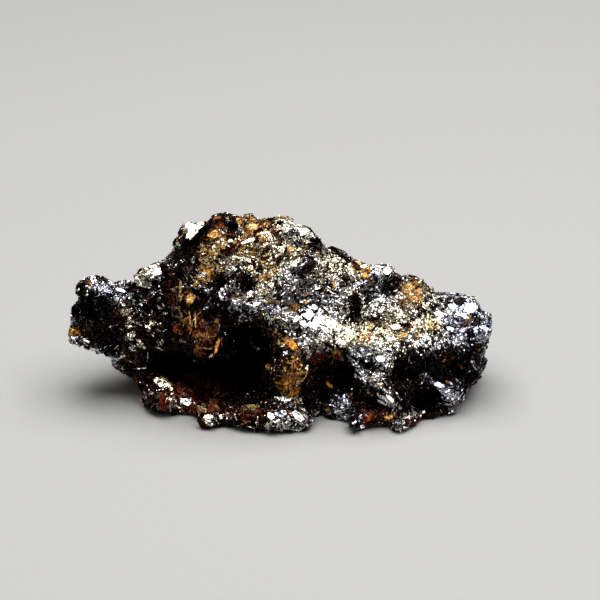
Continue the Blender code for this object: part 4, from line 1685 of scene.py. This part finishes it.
@dataclass(frozen=True)
class Specimen:
    """The whole specimen.

    Attributes:
        seed: Seed of the random generator.
        growths: What grows on the rock.
        overgrown: Share of the plates in front of a blade that stay.
        most_faces: About how many triangles a piece has at most.
        tint: The tints' middle, how far they drift, and how far they vary from plate to plate.
        tint_patch: Size of the patches over which they drift.
        most_tint: The largest tint.
        most_painted_shade: Share of its brightness that the painted shade on the cave walls takes from a
            plate at most.
    """

    seed: int = 5
    growths: tuple[Growth, ...] = (CRUST, SLABS)
    overgrown: float = 0.12
    most_faces: int = 190000
    tint: tuple[float, float, float] = (0.5, 0.6, 0.2)
    tint_patch: float = 9.0
    most_tint: float = 3.0
    most_painted_shade: float = 0.9

    def build(self) -> list[bpy.types.Object]:
        """Builds the rock and its plates.

        Returns:
            The pieces.
        """
        rng = np.random.default_rng(self.seed)
        patterns = PlateForge().build()
        skin = Groundmass().build(rng)
        blades = {coat: [blade.place(skin) for blade in lot] for coat, lot in BLADES.items()}
        every_blade = Plates.together(sum(blades.values(), []))
        lots: dict[Coat, list[Plates]] = {coat: [] for coat in Coat}
        for growth in self.growths:
            plates, normals = growth.grow(skin, rng)
            stays = clear_of(plates, every_blade, rng.random(len(normals)) < self.overgrown)
            for coat, chosen in self.sort(plates, normals, rng).items():
                lots[coat].append(plates.pick(chosen & stays))
        pieces = [skin.piece]
        for coat, lot in lots.items():
            pieces += self.add_plates(coat, Plates.together(lot + blades[coat]), patterns, rng)
        return pieces

    @staticmethod
    def sort(plates: Plates, normals: Array, rng: np.random.Generator) -> dict[Coat, Array]:
        """Sorts plates by coat.

        Args:
            plates: The plates.
            normals: The skin's normals under them.
            rng: The random generator.

        Returns:
            For each coat, which plates have it.
        """
        shares = CoatField().shares(plates.middles, normals)
        draw = rng.random(len(plates.middles))
        chosen = {}
        below = np.zeros(len(draw))
        for coat in Coat:
            above = below + shares[coat]
            chosen[coat] = (draw >= below) & (draw < above)
            below = above
        return chosen

    def add_plates(
        self, coat: Coat, plates: Plates, patterns: dict[Form, Pattern], rng: np.random.Generator
    ) -> list[bpy.types.Object]:
        """Adds the plates of one coat, in pieces of about most_faces triangles.

        Args:
            coat: What covers them.
            plates: The plates.
            patterns: The plate forms.
            rng: The random generator.

        Returns:
            The pieces.
        """
        material = FINISHES[coat].build()
        faces = np.array([len(patterns[form].triangles) for form in Form])[plates.forms]
        number = np.cumsum(faces) // self.most_faces
        tints = self.shade(plates, rng)
        pieces = []
        for index in range(int(number.max()) + 1):
            chosen = number == index
            item = plates.pick(chosen).mesh(f"{coat.value}_plates_{index + 1}", patterns, tints[chosen])
            pieces.append(finish_piece(item, material))
        return pieces

    def shade(self, plates: Plates, rng: np.random.Generator) -> Array:
        """Darkens the plates with painted shade on the cave walls, and draws their tints.

        Args:
            plates: The plates, whose tones are lowered in place.
            rng: The random generator.

        Returns:
            A tint for each plate.
        """
        across, up = DISPLAY.project(plates.middles)
        middle, drift, scatter = self.tint
        warmth = middle + drift * patchiness(plates.middles, self.tint_patch, TINT_DRIFT)
        warmth = warmth + rng.normal(size=len(up)) * scatter
        warmth = warmth + (total(WARM, across, up) - total(COOL, across, up))
        # Painted shade: the plates on the cave walls and in the hollows are darkened.
        plates.tones = plates.tones * (1.0 - np.clip(total(PAINTED_SHADE, across, up), 0.0, self.most_painted_shade))
        return np.clip(warmth, 0.0, self.most_tint)


def main() -> None:
    """Builds the specimen and the studio."""
    logging.basicConfig(level=logging.INFO, format="%(name)s: %(message)s")
    for piece in Specimen().build():
        LOG.info("%s: %d faces", piece.name, len(piece.data.polygons))
    Studio().build()


if __name__ == "__main__":
    main()
